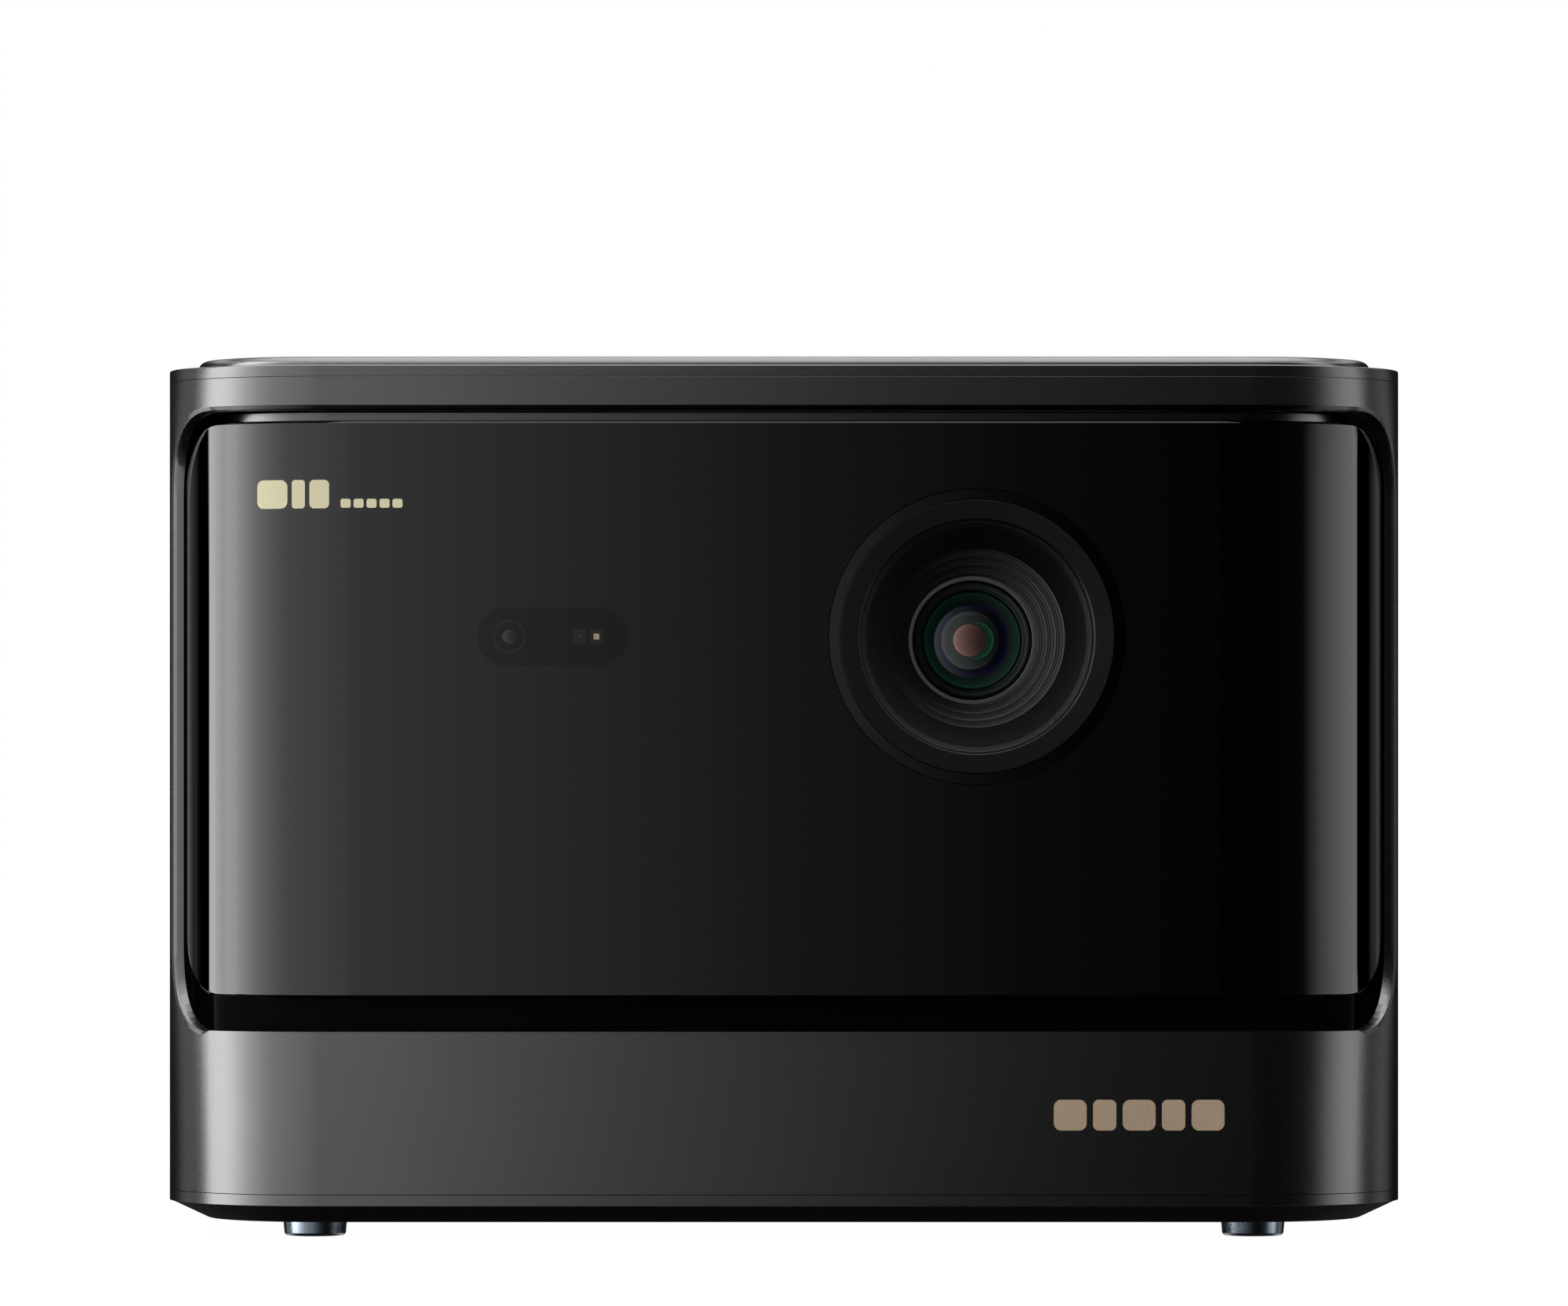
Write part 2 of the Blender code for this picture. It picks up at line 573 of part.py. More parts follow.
def build_base():
    """Lower rim, base tray with its posts, feet, screws and tripod insert."""
    rim = piece("bottom_rim", prism("Z", housing_outline(0), BAND_Z, LOWER_SEAM_Z - SEAM / 2), GUNMETAL,
                smooth=True)
    cut(rim, prism("Z", housing_outline(RIM_WALL), BAND_Z - CUT_OVER, LOWER_SEAM_Z + CUT_OVER))
    lip = RIM_WALL + FIT
    tray = piece("base_tray", stack("Z", (housing_outline(BASE_CHAMFER_RUN), BASE_Z),
                                    (housing_outline(FIT), BAND_Z - FIT),
                                    (housing_outline(lip), BAND_Z - FIT),
                                    (housing_outline(lip), TRAY_TOP_Z)), MATTE_BLACK)
    cut(tray, prism("Z", housing_outline(BASE_CHAMFER_RUN + TRAY_LIP_WALL), BASE_Z + TRAY_FLOOR,
                    TRAY_TOP_Z + CUT_OVER))
    insert_radius = TRIPOD_BORE_RADIUS + TRIPOD_WALL
    insert_top = BASE_Z + TRIPOD_BORE_DEPTH + TRIPOD_FLOOR
    add(tray,
        prism("Z", circle(0, 0, insert_radius + TRIPOD_BOSS_WALL, SMALL_ROUND), BASE_Z + TRAY_FLOOR / 2,
                    insert_top + TRIPOD_FLOOR))
    for x in (-BOARD_HALF + 2 * STANDOFF_RADIUS, BOARD_HALF - 2 * STANDOFF_RADIUS):
        for y in (MAIN_BOARD_FRONT + FRONT, INNER_REAR - 5 * STANDOFF_RADIUS):
            y_post = y + 2 * STANDOFF_RADIUS
            add(tray,
                prism("Z", circle(x, y_post, STANDOFF_RADIUS, 8), BASE_Z + TRAY_FLOOR / 2, BOARD_LOW - FIT))
    cut(tray,
        turned("Z", 0, 0, ((0, BASE_Z - CUT_OVER), (insert_radius + TRIPOD_FLANGE + FIT, BASE_Z - CUT_OVER),
                                 (insert_radius + TRIPOD_FLANGE + FIT, BASE_Z + TRIPOD_FLANGE_HEIGHT + FIT),
                                 (insert_radius + FIT, BASE_Z + TRIPOD_FLANGE_HEIGHT + FIT),
                                 (insert_radius + FIT, insert_top + FIT), (0, insert_top + FIT)),
                                 SMALL_ROUND))
    cut(tray, *intake_slots())
    flange = insert_radius + TRIPOD_FLANGE
    piece("tripod_insert", turned("Z", 0, 0, ((0, BASE_Z + TRIPOD_BORE_DEPTH),
                                              (TRIPOD_BORE_RADIUS, BASE_Z + TRIPOD_BORE_DEPTH),
                                              (TRIPOD_BORE_RADIUS, BASE_Z), (flange, BASE_Z),
                                              (flange, BASE_Z + TRIPOD_FLANGE_HEIGHT),
                                              (insert_radius, BASE_Z + TRIPOD_FLANGE_HEIGHT),
                                              (insert_radius, insert_top), (0, insert_top)), SMALL_ROUND),
                                              BRASS, smooth=True)
    seats = []
    for row, y in (("front", FRONT + FOOT_INSET), ("rear", REAR - FOOT_INSET)):
        for hand, x in (("left", -SIDE + FOOT_INSET), ("right", SIDE - FOOT_INSET)):
            build_foot("foot_" + row + "_" + hand, x, y)
            seats.append(prism("Z", circle(x, y, FOOT_TOP_RADIUS + FIT, 20), BASE_Z - CUT_OVER,
                               BASE_Z + FOOT_SEAT))
    for row, y in (("front", FRONT + SCREW_INSET_Y), ("rear", REAR - SCREW_INSET_Y)):
        for hand, x in (("left", -SIDE + SCREW_INSET_X), ("right", SIDE - SCREW_INSET_X)):
            seats.append(build_screw("base_screw_" + row + "_" + hand, x, y))
    cut(tray, *seats)


def build_foot(name, x, y):
    """Round foot, slightly narrower at the floor, with a soft lower edge."""
    top = BASE_Z + FOOT_SEAT - FIT
    piece(name, turned("Z", x, y, ((0, 0), (FOOT_BOTTOM_RADIUS - FOOT_EDGE, 0),
                                   (FOOT_BOTTOM_RADIUS - FOOT_EDGE * 0.3, FOOT_EDGE * 0.3),
                                   (FOOT_BOTTOM_RADIUS, FOOT_EDGE), (FOOT_TOP_RADIUS, BASE_Z),
                                   (FOOT_TOP_RADIUS, top), (0, top)), 20), FOOT_GREY, smooth=True)


def build_screw(name, x, y):
    """Counterbored base screw with a hexagon socket. Returns its hole, for the tray."""
    head_low = BASE_Z + FIT
    head_high = head_low + SCREW_HEAD_HEIGHT
    tip = head_low + SCREW_LENGTH
    screw = piece(name, turned("Z", x, y, ((0, head_low), (SCREW_HEAD_RADIUS, head_low),
                                           (SCREW_HEAD_RADIUS, head_high), (SCREW_SHANK_RADIUS, head_high),
                                           (SCREW_SHANK_RADIUS, tip), (0, tip)), 12), STEEL, smooth=True)
    cut(screw,
        prism("Z", circle(x, y, SCREW_SOCKET_RADIUS, 6), head_low - CUT_OVER, head_low + SCREW_SOCKET_DEPTH))
    counterbore = SCREW_HEAD_RADIUS + SCREW_CLEARANCE
    hole = SCREW_SHANK_RADIUS + SCREW_CLEARANCE
    return turned("Z", x, y, ((0, BASE_Z - CUT_OVER), (counterbore, BASE_Z - CUT_OVER),
                              (counterbore, head_high + FIT), (hole, head_high + FIT),
                              (hole, tip + CUT_OVER), (0, tip + CUT_OVER)), 12)


def build_glass():
    """Curved glass that wraps both front corners, with the lens hole."""
    low = RECESS_LOW + GLASS_ABOVE_RECESS
    high = RECESS_HIGH - GLASS_BELOW_RECESS
    glass = piece("front_glass", prism("Z", housing_outline(GLASS_SETBACK), low, high), GLOSS_BLACK,
                  smooth=True)
    cut(glass, prism("Z", housing_outline(GLASS_SETBACK + GLASS_THICKNESS), low - CUT_OVER, high + CUT_OVER))
    outline = recess_outline(GLASS_ABOVE_RECESS, GLASS_BELOW_RECESS, GLASS_SIDE_GAP, GLASS_CORNER)
    combine(glass, "INTERSECT", prism("X", outline, -SIDE - CUT_OVER, SIDE + CUT_OVER))
    cut(glass, prism("Y", circle(LENS_X, LENS_Z, GLASS_HOLE_RADIUS, LARGE_ROUND), GLASS_FRONT - CUT_OVER,
                     GLASS_BACK + CUT_OVER))


def bezel_plan(inset, rear):
    """Plan outline of the bezel: its round front corners just clear the glass, its rear ones are square."""
    half = BEZEL_HALF - inset
    radius = CORNER_RADIUS - BEZEL_SIDE_INSET - inset
    square = 0.5 * MM
    return rounded_rect(-half, half, BEZEL_FRONT + inset, rear, (radius, square, square, radius))


def build_bezel():
    """Front carrier behind the glass: a deep tray with lens and sensor windows and two legs."""
    rear = BEZEL_FRONT + BEZEL_LENGTH
    bezel = piece("front_bezel", prism("Z", bezel_plan(0, rear), BEZEL_LOW, BEZEL_HIGH), GLOSS_BLACK,
                  smooth=True)
    face = rounded_rect(-BEZEL_HALF, BEZEL_HALF, BEZEL_LOW, BEZEL_HIGH, BEZEL_CORNER)
    combine(bezel, "INTERSECT", prism("Y", face, FRONT - CUT_OVER, rear + CUT_OVER))
    cut(bezel,
        prism("Z", bezel_plan(BEZEL_WALL, rear + CUT_OVER), BEZEL_LOW + BEZEL_WALL, BEZEL_HIGH - BEZEL_WALL))
    cut(bezel, prism("Y", circle(LENS_X, LENS_Z, GLASS_HOLE_RADIUS, LARGE_ROUND), BEZEL_FRONT - CUT_OVER,
                     BEZEL_FRONT + BEZEL_WALL + CUT_OVER),
        prism("Y",
              rounded_rect(PILL_X - PILL_HALF_WIDTH, PILL_X + PILL_HALF_WIDTH, LENS_Z - PILL_HALF_HEIGHT,
                                LENS_Z + PILL_HALF_HEIGHT, PILL_HALF_HEIGHT * PILL_ROUNDNESS, 6),
                                BEZEL_FRONT - CUT_OVER,
              BEZEL_FRONT + BEZEL_WALL + CUT_OVER))
    outer = BEZEL_HALF - BEZEL_LEG_INSET
    for low, high in ((-outer, -outer + BEZEL_LEG_WIDTH), (outer - BEZEL_LEG_WIDTH, outer)):
        add(bezel, box(low, high, rear - BEZEL_LEG_INSET - BEZEL_LEG_LENGTH, rear - BEZEL_LEG_INSET,
                       TRAY_TOP_Z + FIT, BEZEL_LOW + BEZEL_WALL / 2))


def depth(distance):
    """Place along Y at a distance behind the front face of the glass."""
    return GLASS_FRONT + distance


def lens_part(name, profile, finish, steps=MIDDLE_ROUND):
    """Piece turned about the lens axis from (radius, distance behind the glass) points."""
    points = tuple((radius, depth(distance)) for radius, distance in profile)
    piece(name, turned("Y", LENS_X, LENS_Z, points, steps), finish, smooth=True)


def element(name, radius, start, sag):
    """Lens element: a crowned front, a straight edge and a flat back."""
    rim = radius * ELEMENT_CROWN
    crown = [(rim * step / 3, start + sag * (step / 3) ** 2) for step in range(4)]
    back = start + sag + ELEMENT_EDGE
    lens_part(name, (*crown, (radius, start + sag), (radius, back), (0, back)), LENS_GLASS, 24)


def build_lens():
    """Trim ring, hood, retaining ring, barrel with its elements, and mounting flange."""
    outer = GLASS_HOLE_RADIUS - FIT
    lens_part("lens_trim_ring", ((outer, TRIM_SETBACK), (outer - TRIM_SLOPE, TRIM_DISH),
                                 (TRIM_SATIN_OUTER, TRIM_DISH), (TRIM_SATIN_OUTER - TRIM_EDGE, 0),
                                 (TRIM_SATIN_INNER, TRIM_EDGE), (TRIM_SATIN_INNER, TRIM_LENGTH),
                                 (outer, TRIM_LENGTH)), SATIN_BLACK, LARGE_ROUND)
    flange = GLASS_THICKNESS + FIT + BEZEL_WALL + FIT
    lens_part("lens_hood", ((HOOD_MOUTH_RADIUS, flange), (HOOD_FLANGE_RADIUS, flange),
                            (HOOD_FLANGE_RADIUS, flange + HOOD_FLANGE_THICKNESS),
                            (HOOD_MOUTH_RADIUS + HOOD_WALL, flange + HOOD_FLANGE_THICKNESS),
                            (HOOD_THROAT_RADIUS + HOOD_WALL, HOOD_THROAT_DEPTH + HOOD_BACK_OFFSET),
                            (HOOD_EXIT_RADIUS + HOOD_WALL, HOOD_EXIT_DEPTH),
                            (HOOD_EXIT_RADIUS, HOOD_EXIT_DEPTH), (HOOD_THROAT_RADIUS, HOOD_THROAT_DEPTH)),
              MATTE_BLACK)
    start = HOOD_EXIT_DEPTH + FIT
    lens_part("retaining_ring", ((RETAINER_RADIUS, start), (RETAINER_RADIUS, start + RETAINER_LENGTH),
                                 (RETAINER_OPENING, start + RETAINER_LENGTH),
                                 (RETAINER_OPENING, start + RETAINER_LENGTH * 0.6),
                                 (HOOD_EXIT_RADIUS - 1.2 * MM, start + RETAINER_LENGTH * 0.4),
                                 (HOOD_EXIT_RADIUS - 0.3 * MM, start)), STEEL)
    lens_part("lens_barrel", ((BARREL_BORE, BARREL_START), (BARREL_RADIUS, BARREL_START),
                              (BARREL_RADIUS, BARREL_START + BARREL_LENGTH),
                              (BARREL_BORE, BARREL_START + BARREL_LENGTH)), SATIN_BLACK)
    fit_radius = BARREL_BORE - FIT
    element("front_element", fit_radius, BARREL_START - ELEMENT_SAG + FIT, ELEMENT_SAG)
    element("middle_element", fit_radius, BARREL_START + MIDDLE_ELEMENT_BACK, ELEMENT_SAG)
    element("rear_element", fit_radius, BARREL_START + REAR_ELEMENT_BACK, ELEMENT_SAG)
    lens_part("lens_flange", ((FLANGE_BORE, FLANGE_START), (FLANGE_RADIUS, FLANGE_START),
                              (FLANGE_RADIUS, FLANGE_START + FLANGE_THICKNESS),
                              (FLANGE_BORE, FLANGE_START + FLANGE_THICKNESS)), ALUMINIUM)


def build_focus_drive():
    """Toothed focus ring round the barrel, its pinion and the small motor."""
    ring_phase = PINION_ANGLE + math.pi / RING_TEETH
    low = depth(RING_START)
    ring = piece("focus_ring",
                 prism("Y", gear_outline(LENS_X, LENS_Z, RING_TEETH, ring_phase), low, low + RING_WIDTH),
                 GREY_PLASTIC, origin=(LENS_X, low, LENS_Z))
    cut(ring, prism("Y", circle(LENS_X, LENS_Z, BARREL_RADIUS + FIT, MIDDLE_ROUND), low - CUT_OVER,
                    low + RING_WIDTH + CUT_OVER))
    pinion_end = low + PINION_WIDTH
    pinion = piece("focus_pinion", prism("Y", gear_outline(PINION_X, PINION_Z, PINION_TEETH,
                                                           PINION_ANGLE + math.pi), low, pinion_end),
                   BRASS, origin=(PINION_X, low, PINION_Z))
    add(pinion, prism("Y", circle(PINION_X, PINION_Z, PINION_SHAFT_RADIUS, 8), pinion_end - PINION_WIDTH / 2,
                      pinion_end + PINION_SHAFT_LENGTH))
    start = pinion_end + PINION_SHAFT_LENGTH + FIT
    end = depth(FLANGE_START) - FIT
    piece("focus_motor", turned("Y", PINION_X, PINION_Z, ((0, start), (MOTOR_BOSS_RADIUS, start),
                                                          (MOTOR_BOSS_RADIUS, start + MOTOR_BOSS_LENGTH),
                                                          (MOTOR_RADIUS, start + MOTOR_BOSS_LENGTH),
                                                          (MOTOR_RADIUS, end), (0, end)), SMALL_ROUND),
          STEEL, smooth=True)


def build_sensors():
    """Carrier behind the dark window, with the camera and the distance sensor in it."""
    half_width = PILL_HALF_WIDTH - FIT
    half_height = PILL_HALF_HEIGHT - FIT
    low = BEZEL_FRONT
    high = low + CARRIER_LENGTH
    carrier = piece("sensor_carrier", prism("Y", rounded_rect(PILL_X - half_width, PILL_X + half_width,
                                                              LENS_Z - half_height, LENS_Z + half_height,
                                                              half_height * PILL_ROUNDNESS, 6), low, high),
                                                              MATTE_BLACK)
    tof_low = TOF_LEFT_X - TOF_WINDOW / 2 - TOF_MARGIN
    tof_high = TOF_RIGHT_X + TOF_WINDOW / 2 + TOF_MARGIN
    tof_half = TOF_WINDOW / 2 + TOF_MARGIN
    cut(carrier, prism("Y", circle(CAMERA_X, LENS_Z, CAMERA_RADIUS + FIT, SMALL_ROUND), low - CUT_OVER,
                       high + CUT_OVER),
        box(tof_low - FIT, tof_high + FIT, low - CUT_OVER, high + CUT_OVER, LENS_Z - tof_half - FIT,
            LENS_Z + tof_half + FIT))
    front = low + SENSOR_SETBACK
    dish = low + CAMERA_DISH
    end = low + CAMERA_LENGTH
    camera = turned("Y", CAMERA_X, LENS_Z, ((0, dish), (CAMERA_PUPIL, dish + CAMERA_PUPIL_RISE),
                                            (CAMERA_RADIUS - CAMERA_RIM, front), (CAMERA_RADIUS, front),
                                            (CAMERA_RADIUS, end), (0, end)), SMALL_ROUND)
    piece("camera_module", camera, GLOSS_BLACK, smooth=True)
    tof = piece("tof_module",
                box(tof_low, tof_high, low + SENSOR_SETBACK, low + TOF_LENGTH, LENS_Z - tof_half,
                                  LENS_Z + tof_half), SATIN_BLACK)
    window = TOF_WINDOW / 2
    cut(tof, *(box(x - window, x + window, low - CUT_OVER, low + SENSOR_SETBACK + TOF_WINDOW_DEPTH,
                   LENS_Z - window,
                   LENS_Z + window) for x in (TOF_LEFT_X, TOF_RIGHT_X)))


def build_engine():
    """Light engine housing, its chip board and heat sink, and the light source beside it."""
    housing = piece("engine_housing",
                    box(LENS_X - ENGINE_HALF_WIDTH, LENS_X + ENGINE_HALF_WIDTH, ENGINE_FRONT,
                                          ENGINE_REAR, LENS_Z - ENGINE_HALF_HEIGHT,
                                          LENS_Z + ENGINE_HALF_HEIGHT),
                    ALUMINIUM)
    chamfer(housing, ENGINE_EDGE)
    cut(housing, prism("Y", circle(LENS_X, LENS_Z, ENGINE_BORE, MIDDLE_ROUND), ENGINE_FRONT - CUT_OVER,
                       ENGINE_FRONT + ENGINE_BORE_DEPTH))
    board_y = ENGINE_REAR + FIT
    piece("chip_board", prism("Y", rounded_rect(LENS_X - CHIP_BOARD_HALF, LENS_X + CHIP_BOARD_HALF,
                                                LENS_Z - CHIP_BOARD_HALF, LENS_Z + CHIP_BOARD_HALF, 2 * MM,
                                                2),
                              board_y, board_y + BOARD_THICKNESS), BOARD_GREEN)
    sink_y = board_y + BOARD_THICKNESS + FIT
    sink = piece("chip_heatsink", box(LENS_X - CHIP_SINK_HALF, LENS_X + CHIP_SINK_HALF, sink_y,
                                      sink_y + CHIP_SINK_LENGTH, LENS_Z - CHIP_SINK_HALF,
                                      LENS_Z + CHIP_SINK_HALF),
                 ALUMINIUM)
    pitch = 2 * CHIP_SINK_HALF / (CHIP_SINK_GAPS + 1)
    gaps = []
    for index in range(CHIP_SINK_GAPS):
        x = LENS_X - CHIP_SINK_HALF + pitch * (index + 1)
        gaps.append(box(x - CHIP_SINK_GAP_WIDTH / 2, x + CHIP_SINK_GAP_WIDTH / 2, sink_y + CHIP_SINK_BASE,
                        sink_y + CHIP_SINK_LENGTH + CUT_OVER, LENS_Z - CHIP_SINK_HALF - CUT_OVER,
                        LENS_Z + CHIP_SINK_HALF + CUT_OVER))
    cut(sink, *gaps)
    laser = piece("laser_module", box(LASER_LEFT, LASER_RIGHT, LASER_REAR - LASER_LENGTH, LASER_REAR,
                                      LENS_Z - LASER_HALF_HEIGHT, LENS_Z + LASER_HALF_HEIGHT), SATIN_BLACK)
    chamfer(laser, LASER_EDGE)
    top = LENS_Z + LASER_HALF_HEIGHT
    add(laser, *(prism("Z", circle((LASER_LEFT + LASER_RIGHT) / 2 + x, LASER_REAR - LASER_LENGTH / 2,
                                   LASER_CAP_RADIUS, SMALL_ROUND), top - 2 * MM, top + LASER_CAP_HEIGHT)
                 for x in (-LASER_WIDTH / 4, LASER_WIDTH / 4)))


def build_heat_path():
    """Fin stack in front of the exhaust fan, and the two heat pipes that feed it."""
    low = FAN_Z - SINK_HALF_HEIGHT
    high = FAN_Z + SINK_HALF_HEIGHT
    sink = piece("laser_heatsink", box(SINK_LEFT, SINK_RIGHT, SINK_REAR - SINK_LENGTH, SINK_REAR, low, high),
                 ALUMINIUM)
    gaps = []
    count = int((SINK_RIGHT - SINK_LEFT - SINK_FIN) / SINK_PITCH)
    spine_low = (low + high) / 2 - SINK_SPINE / 2
    for index in range(count):
        x = SINK_LEFT + SINK_FIN + SINK_PITCH * index
        for z_low, z_high in ((low - CUT_OVER, spine_low), (spine_low + SINK_SPINE, high + CUT_OVER)):
            gaps.append(box(x, x + SINK_PITCH - SINK_FIN, SINK_REAR - SINK_LENGTH - CUT_OVER,
                            SINK_REAR + CUT_OVER, z_low, z_high))
    cut(sink, *gaps)
    holes = []
    for name, z in (("heat_pipe_upper", LENS_Z + PIPE_SPREAD), ("heat_pipe_lower", LENS_Z - PIPE_SPREAD)):
        holes.append(prism("X", circle(SINK_PIPE_Y, z, (PIPE_RADIUS + FIT) / math.cos(math.pi / 8), 8),
                           SINK_LEFT - CUT_OVER,
                           SINK_RIGHT + CUT_OVER))
        build_pipe(name, z)
    cut(sink, *holes)


def build_pipe(name, z):
    """Heat pipe: straight on the light source, a soft S-bend, then straight through the fins."""
    near = SINK_PIPE_Y - PIPE_SHIFT
    start = LASER_RIGHT - 2 * MM
    bend_in = LASER_LEFT + 1 * MM
    bend_out = SINK_RIGHT + 1 * MM
    end = SINK_LEFT + 2 * MM
    points = [(start, near, z)]
    bends = 10
    for step in range(bends + 1):
        share = step / bends
        ease = share * share * (3 - 2 * share)
        points.append((bend_in + (bend_out - bend_in) * share, near + PIPE_SHIFT * ease, z))
    points.append((end, SINK_PIPE_Y, z))
    curve = bpy.data.curves.new(name, "CURVE")
    curve.dimensions = "3D"
    curve.bevel_depth = PIPE_RADIUS
    curve.bevel_resolution = 2
    curve.use_fill_caps = True
    spline = curve.splines.new("POLY")
    spline.points.add(len(points) - 1)
    for target, point in zip(spline.points, points):
        target.co = (*point, 1)
    pipe = bpy.data.objects.new(name, curve)
    bpy.context.scene.collection.objects.link(pipe)
    material = bpy.data.materials.new(name + "_finish")
    material.use_nodes = True
    shader = material.node_tree.nodes["Principled BSDF"]
    colour, roughness, metallic = COPPER
    shader.inputs["Base Color"].default_value = (*colour, 1.0)
    shader.inputs["Roughness"].default_value = roughness
    shader.inputs["Metallic"].default_value = metallic
    curve.materials.append(material)


def build_fan(name, axis, u, v, low, strut_low):
    """Fan frame with its struts, and the bladed rotor that turns in it."""
    half = FAN_SIZE / 2
    bore = half - FAN_RIM
    frame = piece(name + "_frame",
                  prism(axis, rounded_rect(u - half, u + half, v - half, v + half, FAN_CORNER, 2),
                                         low, low + FAN_THICKNESS), MATTE_BLACK)
    cut(frame, prism(axis, circle(u, v, bore, MIDDLE_ROUND), low - CUT_OVER, low + FAN_THICKNESS + CUT_OVER))
    arm = FAN_STRUT_WIDTH / 2
    reach = bore + FAN_RIM / 2
    strut_high = strut_low + FAN_STRUT_THICKNESS
    add(frame, prism(axis, rectangle(u - reach, u + reach, v - arm, v + arm), strut_low, strut_high))
    add(frame, prism(axis, rectangle(u - arm, u + arm, v - reach, v + reach), strut_low, strut_high))
    add(frame, prism(axis, circle(u, v, FAN_HUB_RADIUS, SMALL_ROUND), strut_low, strut_high))
    if strut_low > low:
        rotor_low = strut_low - FIT - FAN_HUB_LENGTH
    else:
        rotor_low = strut_high + FIT
    build_rotor(name + "_rotor", axis, u, v, rotor_low, bore - FAN_TIP_GAP)


def build_rotor(name, axis, u, v, low, tip):
    """Hub with swept, pitched blades drawn out of its side."""
    centre = place(axis, u, v, low + FAN_HUB_LENGTH / 2)
    body = prism(axis, circle(u, v, FAN_HUB_RADIUS, FAN_BLADES * 4), low, low + FAN_HUB_LENGTH)
    along, right, up = place(axis, 0, 0, 1), place(axis, 1, 0, 0), place(axis, 0, 1, 0)

    def bearing(point):
        offset = point - centre
        return math.atan2(offset.dot(up), offset.dot(right))

    sides = [face for face in body.faces if abs(face.normal.dot(along)) < 0.5]
    sides.sort(key=lambda face: bearing(face.calc_center_median()))
    half_height = BLADE_SHARE * FAN_HUB_LENGTH / 2
    for root in sides[::4]:
        middle = bearing(root.calc_center_median())
        roles = [(math.copysign(1, math.sin(bearing(vert.co) - middle)),
                  math.copysign(1, (vert.co - centre).dot(along))) for vert in root.verts]
        blade = root
        for reach, sweep, pitch in BLADE_STAGES:
            blade = bmesh.ops.extrude_discrete_faces(body, faces=[blade])["faces"][0]
            radius = FAN_HUB_RADIUS + (tip - FAN_HUB_RADIUS) * reach
            for vert, (side, rise) in zip(blade.verts, roles):
                angle = middle + math.radians(sweep + rise * pitch) + side * BLADE_THICKNESS / 2 / radius
                across = right * math.cos(angle) + up * math.sin(angle)
                vert.co = centre + along * rise * half_height + across * radius
    bmesh.ops.recalc_face_normals(body, faces=body.faces)
    piece(name, body, MATTE_BLACK, origin=centre)


def build_cooling():
    """Exhaust fan behind the rear grille and intake fan behind the right grille."""
    exhaust_low = EXHAUST_REAR - FAN_THICKNESS
    build_fan("exhaust_fan", "Y", EXHAUST_X, FAN_Z, exhaust_low, EXHAUST_REAR - FAN_STRUT_THICKNESS)
    intake_low = INTAKE_RIGHT - FAN_THICKNESS
    build_fan("intake_fan", "X", INTAKE_FAN_Y, FAN_Z, intake_low, intake_low)


def build_board():
    """Main board on its posts, with three chips."""
    front = FRONT + MAIN_BOARD_FRONT
    rear = PANEL_INNER - FIT
    board = piece("main_board",
                  prism("Z", rounded_rect(-BOARD_HALF, BOARD_HALF, front, rear, 3 * MM, 2), BOARD_LOW,
                                      BOARD_TOP), BOARD_GREEN)
    for x, y, half, height in MAIN_CHIPS:
        add(board,
            box(x - half, x + half, y - half, y + half, BOARD_TOP - BOARD_THICKNESS / 2, BOARD_TOP + height))


def build_ports():
    """Row of sockets on the board's rear edge. Returns their windows, for the rear panel."""
    windows = []
    window_low = PANEL_INNER - CUT_OVER
    window_high = REAR + CUT_OVER
    rear = REAR - 0.2 * MM
    x = -PORT_ROW / 2 + DC_RADIUS
    dc_z = PORT_LOW + DC_RADIUS
    windows.append(prism("Y", circle(x, dc_z, DC_RADIUS + FIT, SMALL_ROUND), window_low, window_high))
    piece("dc_jack", turned("Y", x, dc_z, ((0, rear - 2 * MM), (DC_PIN, rear - 2 * MM),
                                           (DC_PIN, rear - PORT_DEPTH + PORT_FLOOR),
                                           (DC_BORE, rear - PORT_DEPTH + PORT_FLOOR), (DC_BORE, rear),
                                           (DC_RADIUS, rear), (DC_RADIUS, rear - PORT_DEPTH),
                                           (0, rear - PORT_DEPTH)), SMALL_ROUND), MATTE_BLACK, smooth=True)
    x += DC_RADIUS + PORT_GAP
    for name, width, height in SOCKETS:
        port = piece(name, box(x, x + width, rear - PORT_DEPTH, rear, PORT_LOW, PORT_LOW + height), STEEL)
        wall = PORT_WALL if height < 9 * MM else 2 * PORT_WALL
        cut(port, box(x + wall, x + width - wall, rear - PORT_DEPTH + PORT_FLOOR, rear + CUT_OVER,
                      PORT_LOW + wall, PORT_LOW + height - wall))
        windows.append(box(x - FIT, x + width + FIT, window_low, window_high, PORT_LOW - FIT,
                           PORT_LOW + height + FIT))
        x += width + PORT_GAP
    x += AUDIO_RADIUS
    audio_z = PORT_LOW + AUDIO_RADIUS
    windows.append(prism("Y", circle(x, audio_z, AUDIO_RADIUS + FIT, SMALL_ROUND), window_low, window_high))
    piece("headphone_jack", turned("Y", x, audio_z, ((0, rear - PORT_DEPTH + PORT_FLOOR),
                                                     (AUDIO_BORE, rear - PORT_DEPTH + PORT_FLOOR),
                                                     (AUDIO_BORE, rear),
                                                     (AUDIO_RADIUS, rear), (AUDIO_RADIUS, rear - PORT_DEPTH),
                                                     (0, rear - PORT_DEPTH)), SMALL_ROUND), MATTE_BLACK,
                                                     smooth=True)
    return windows


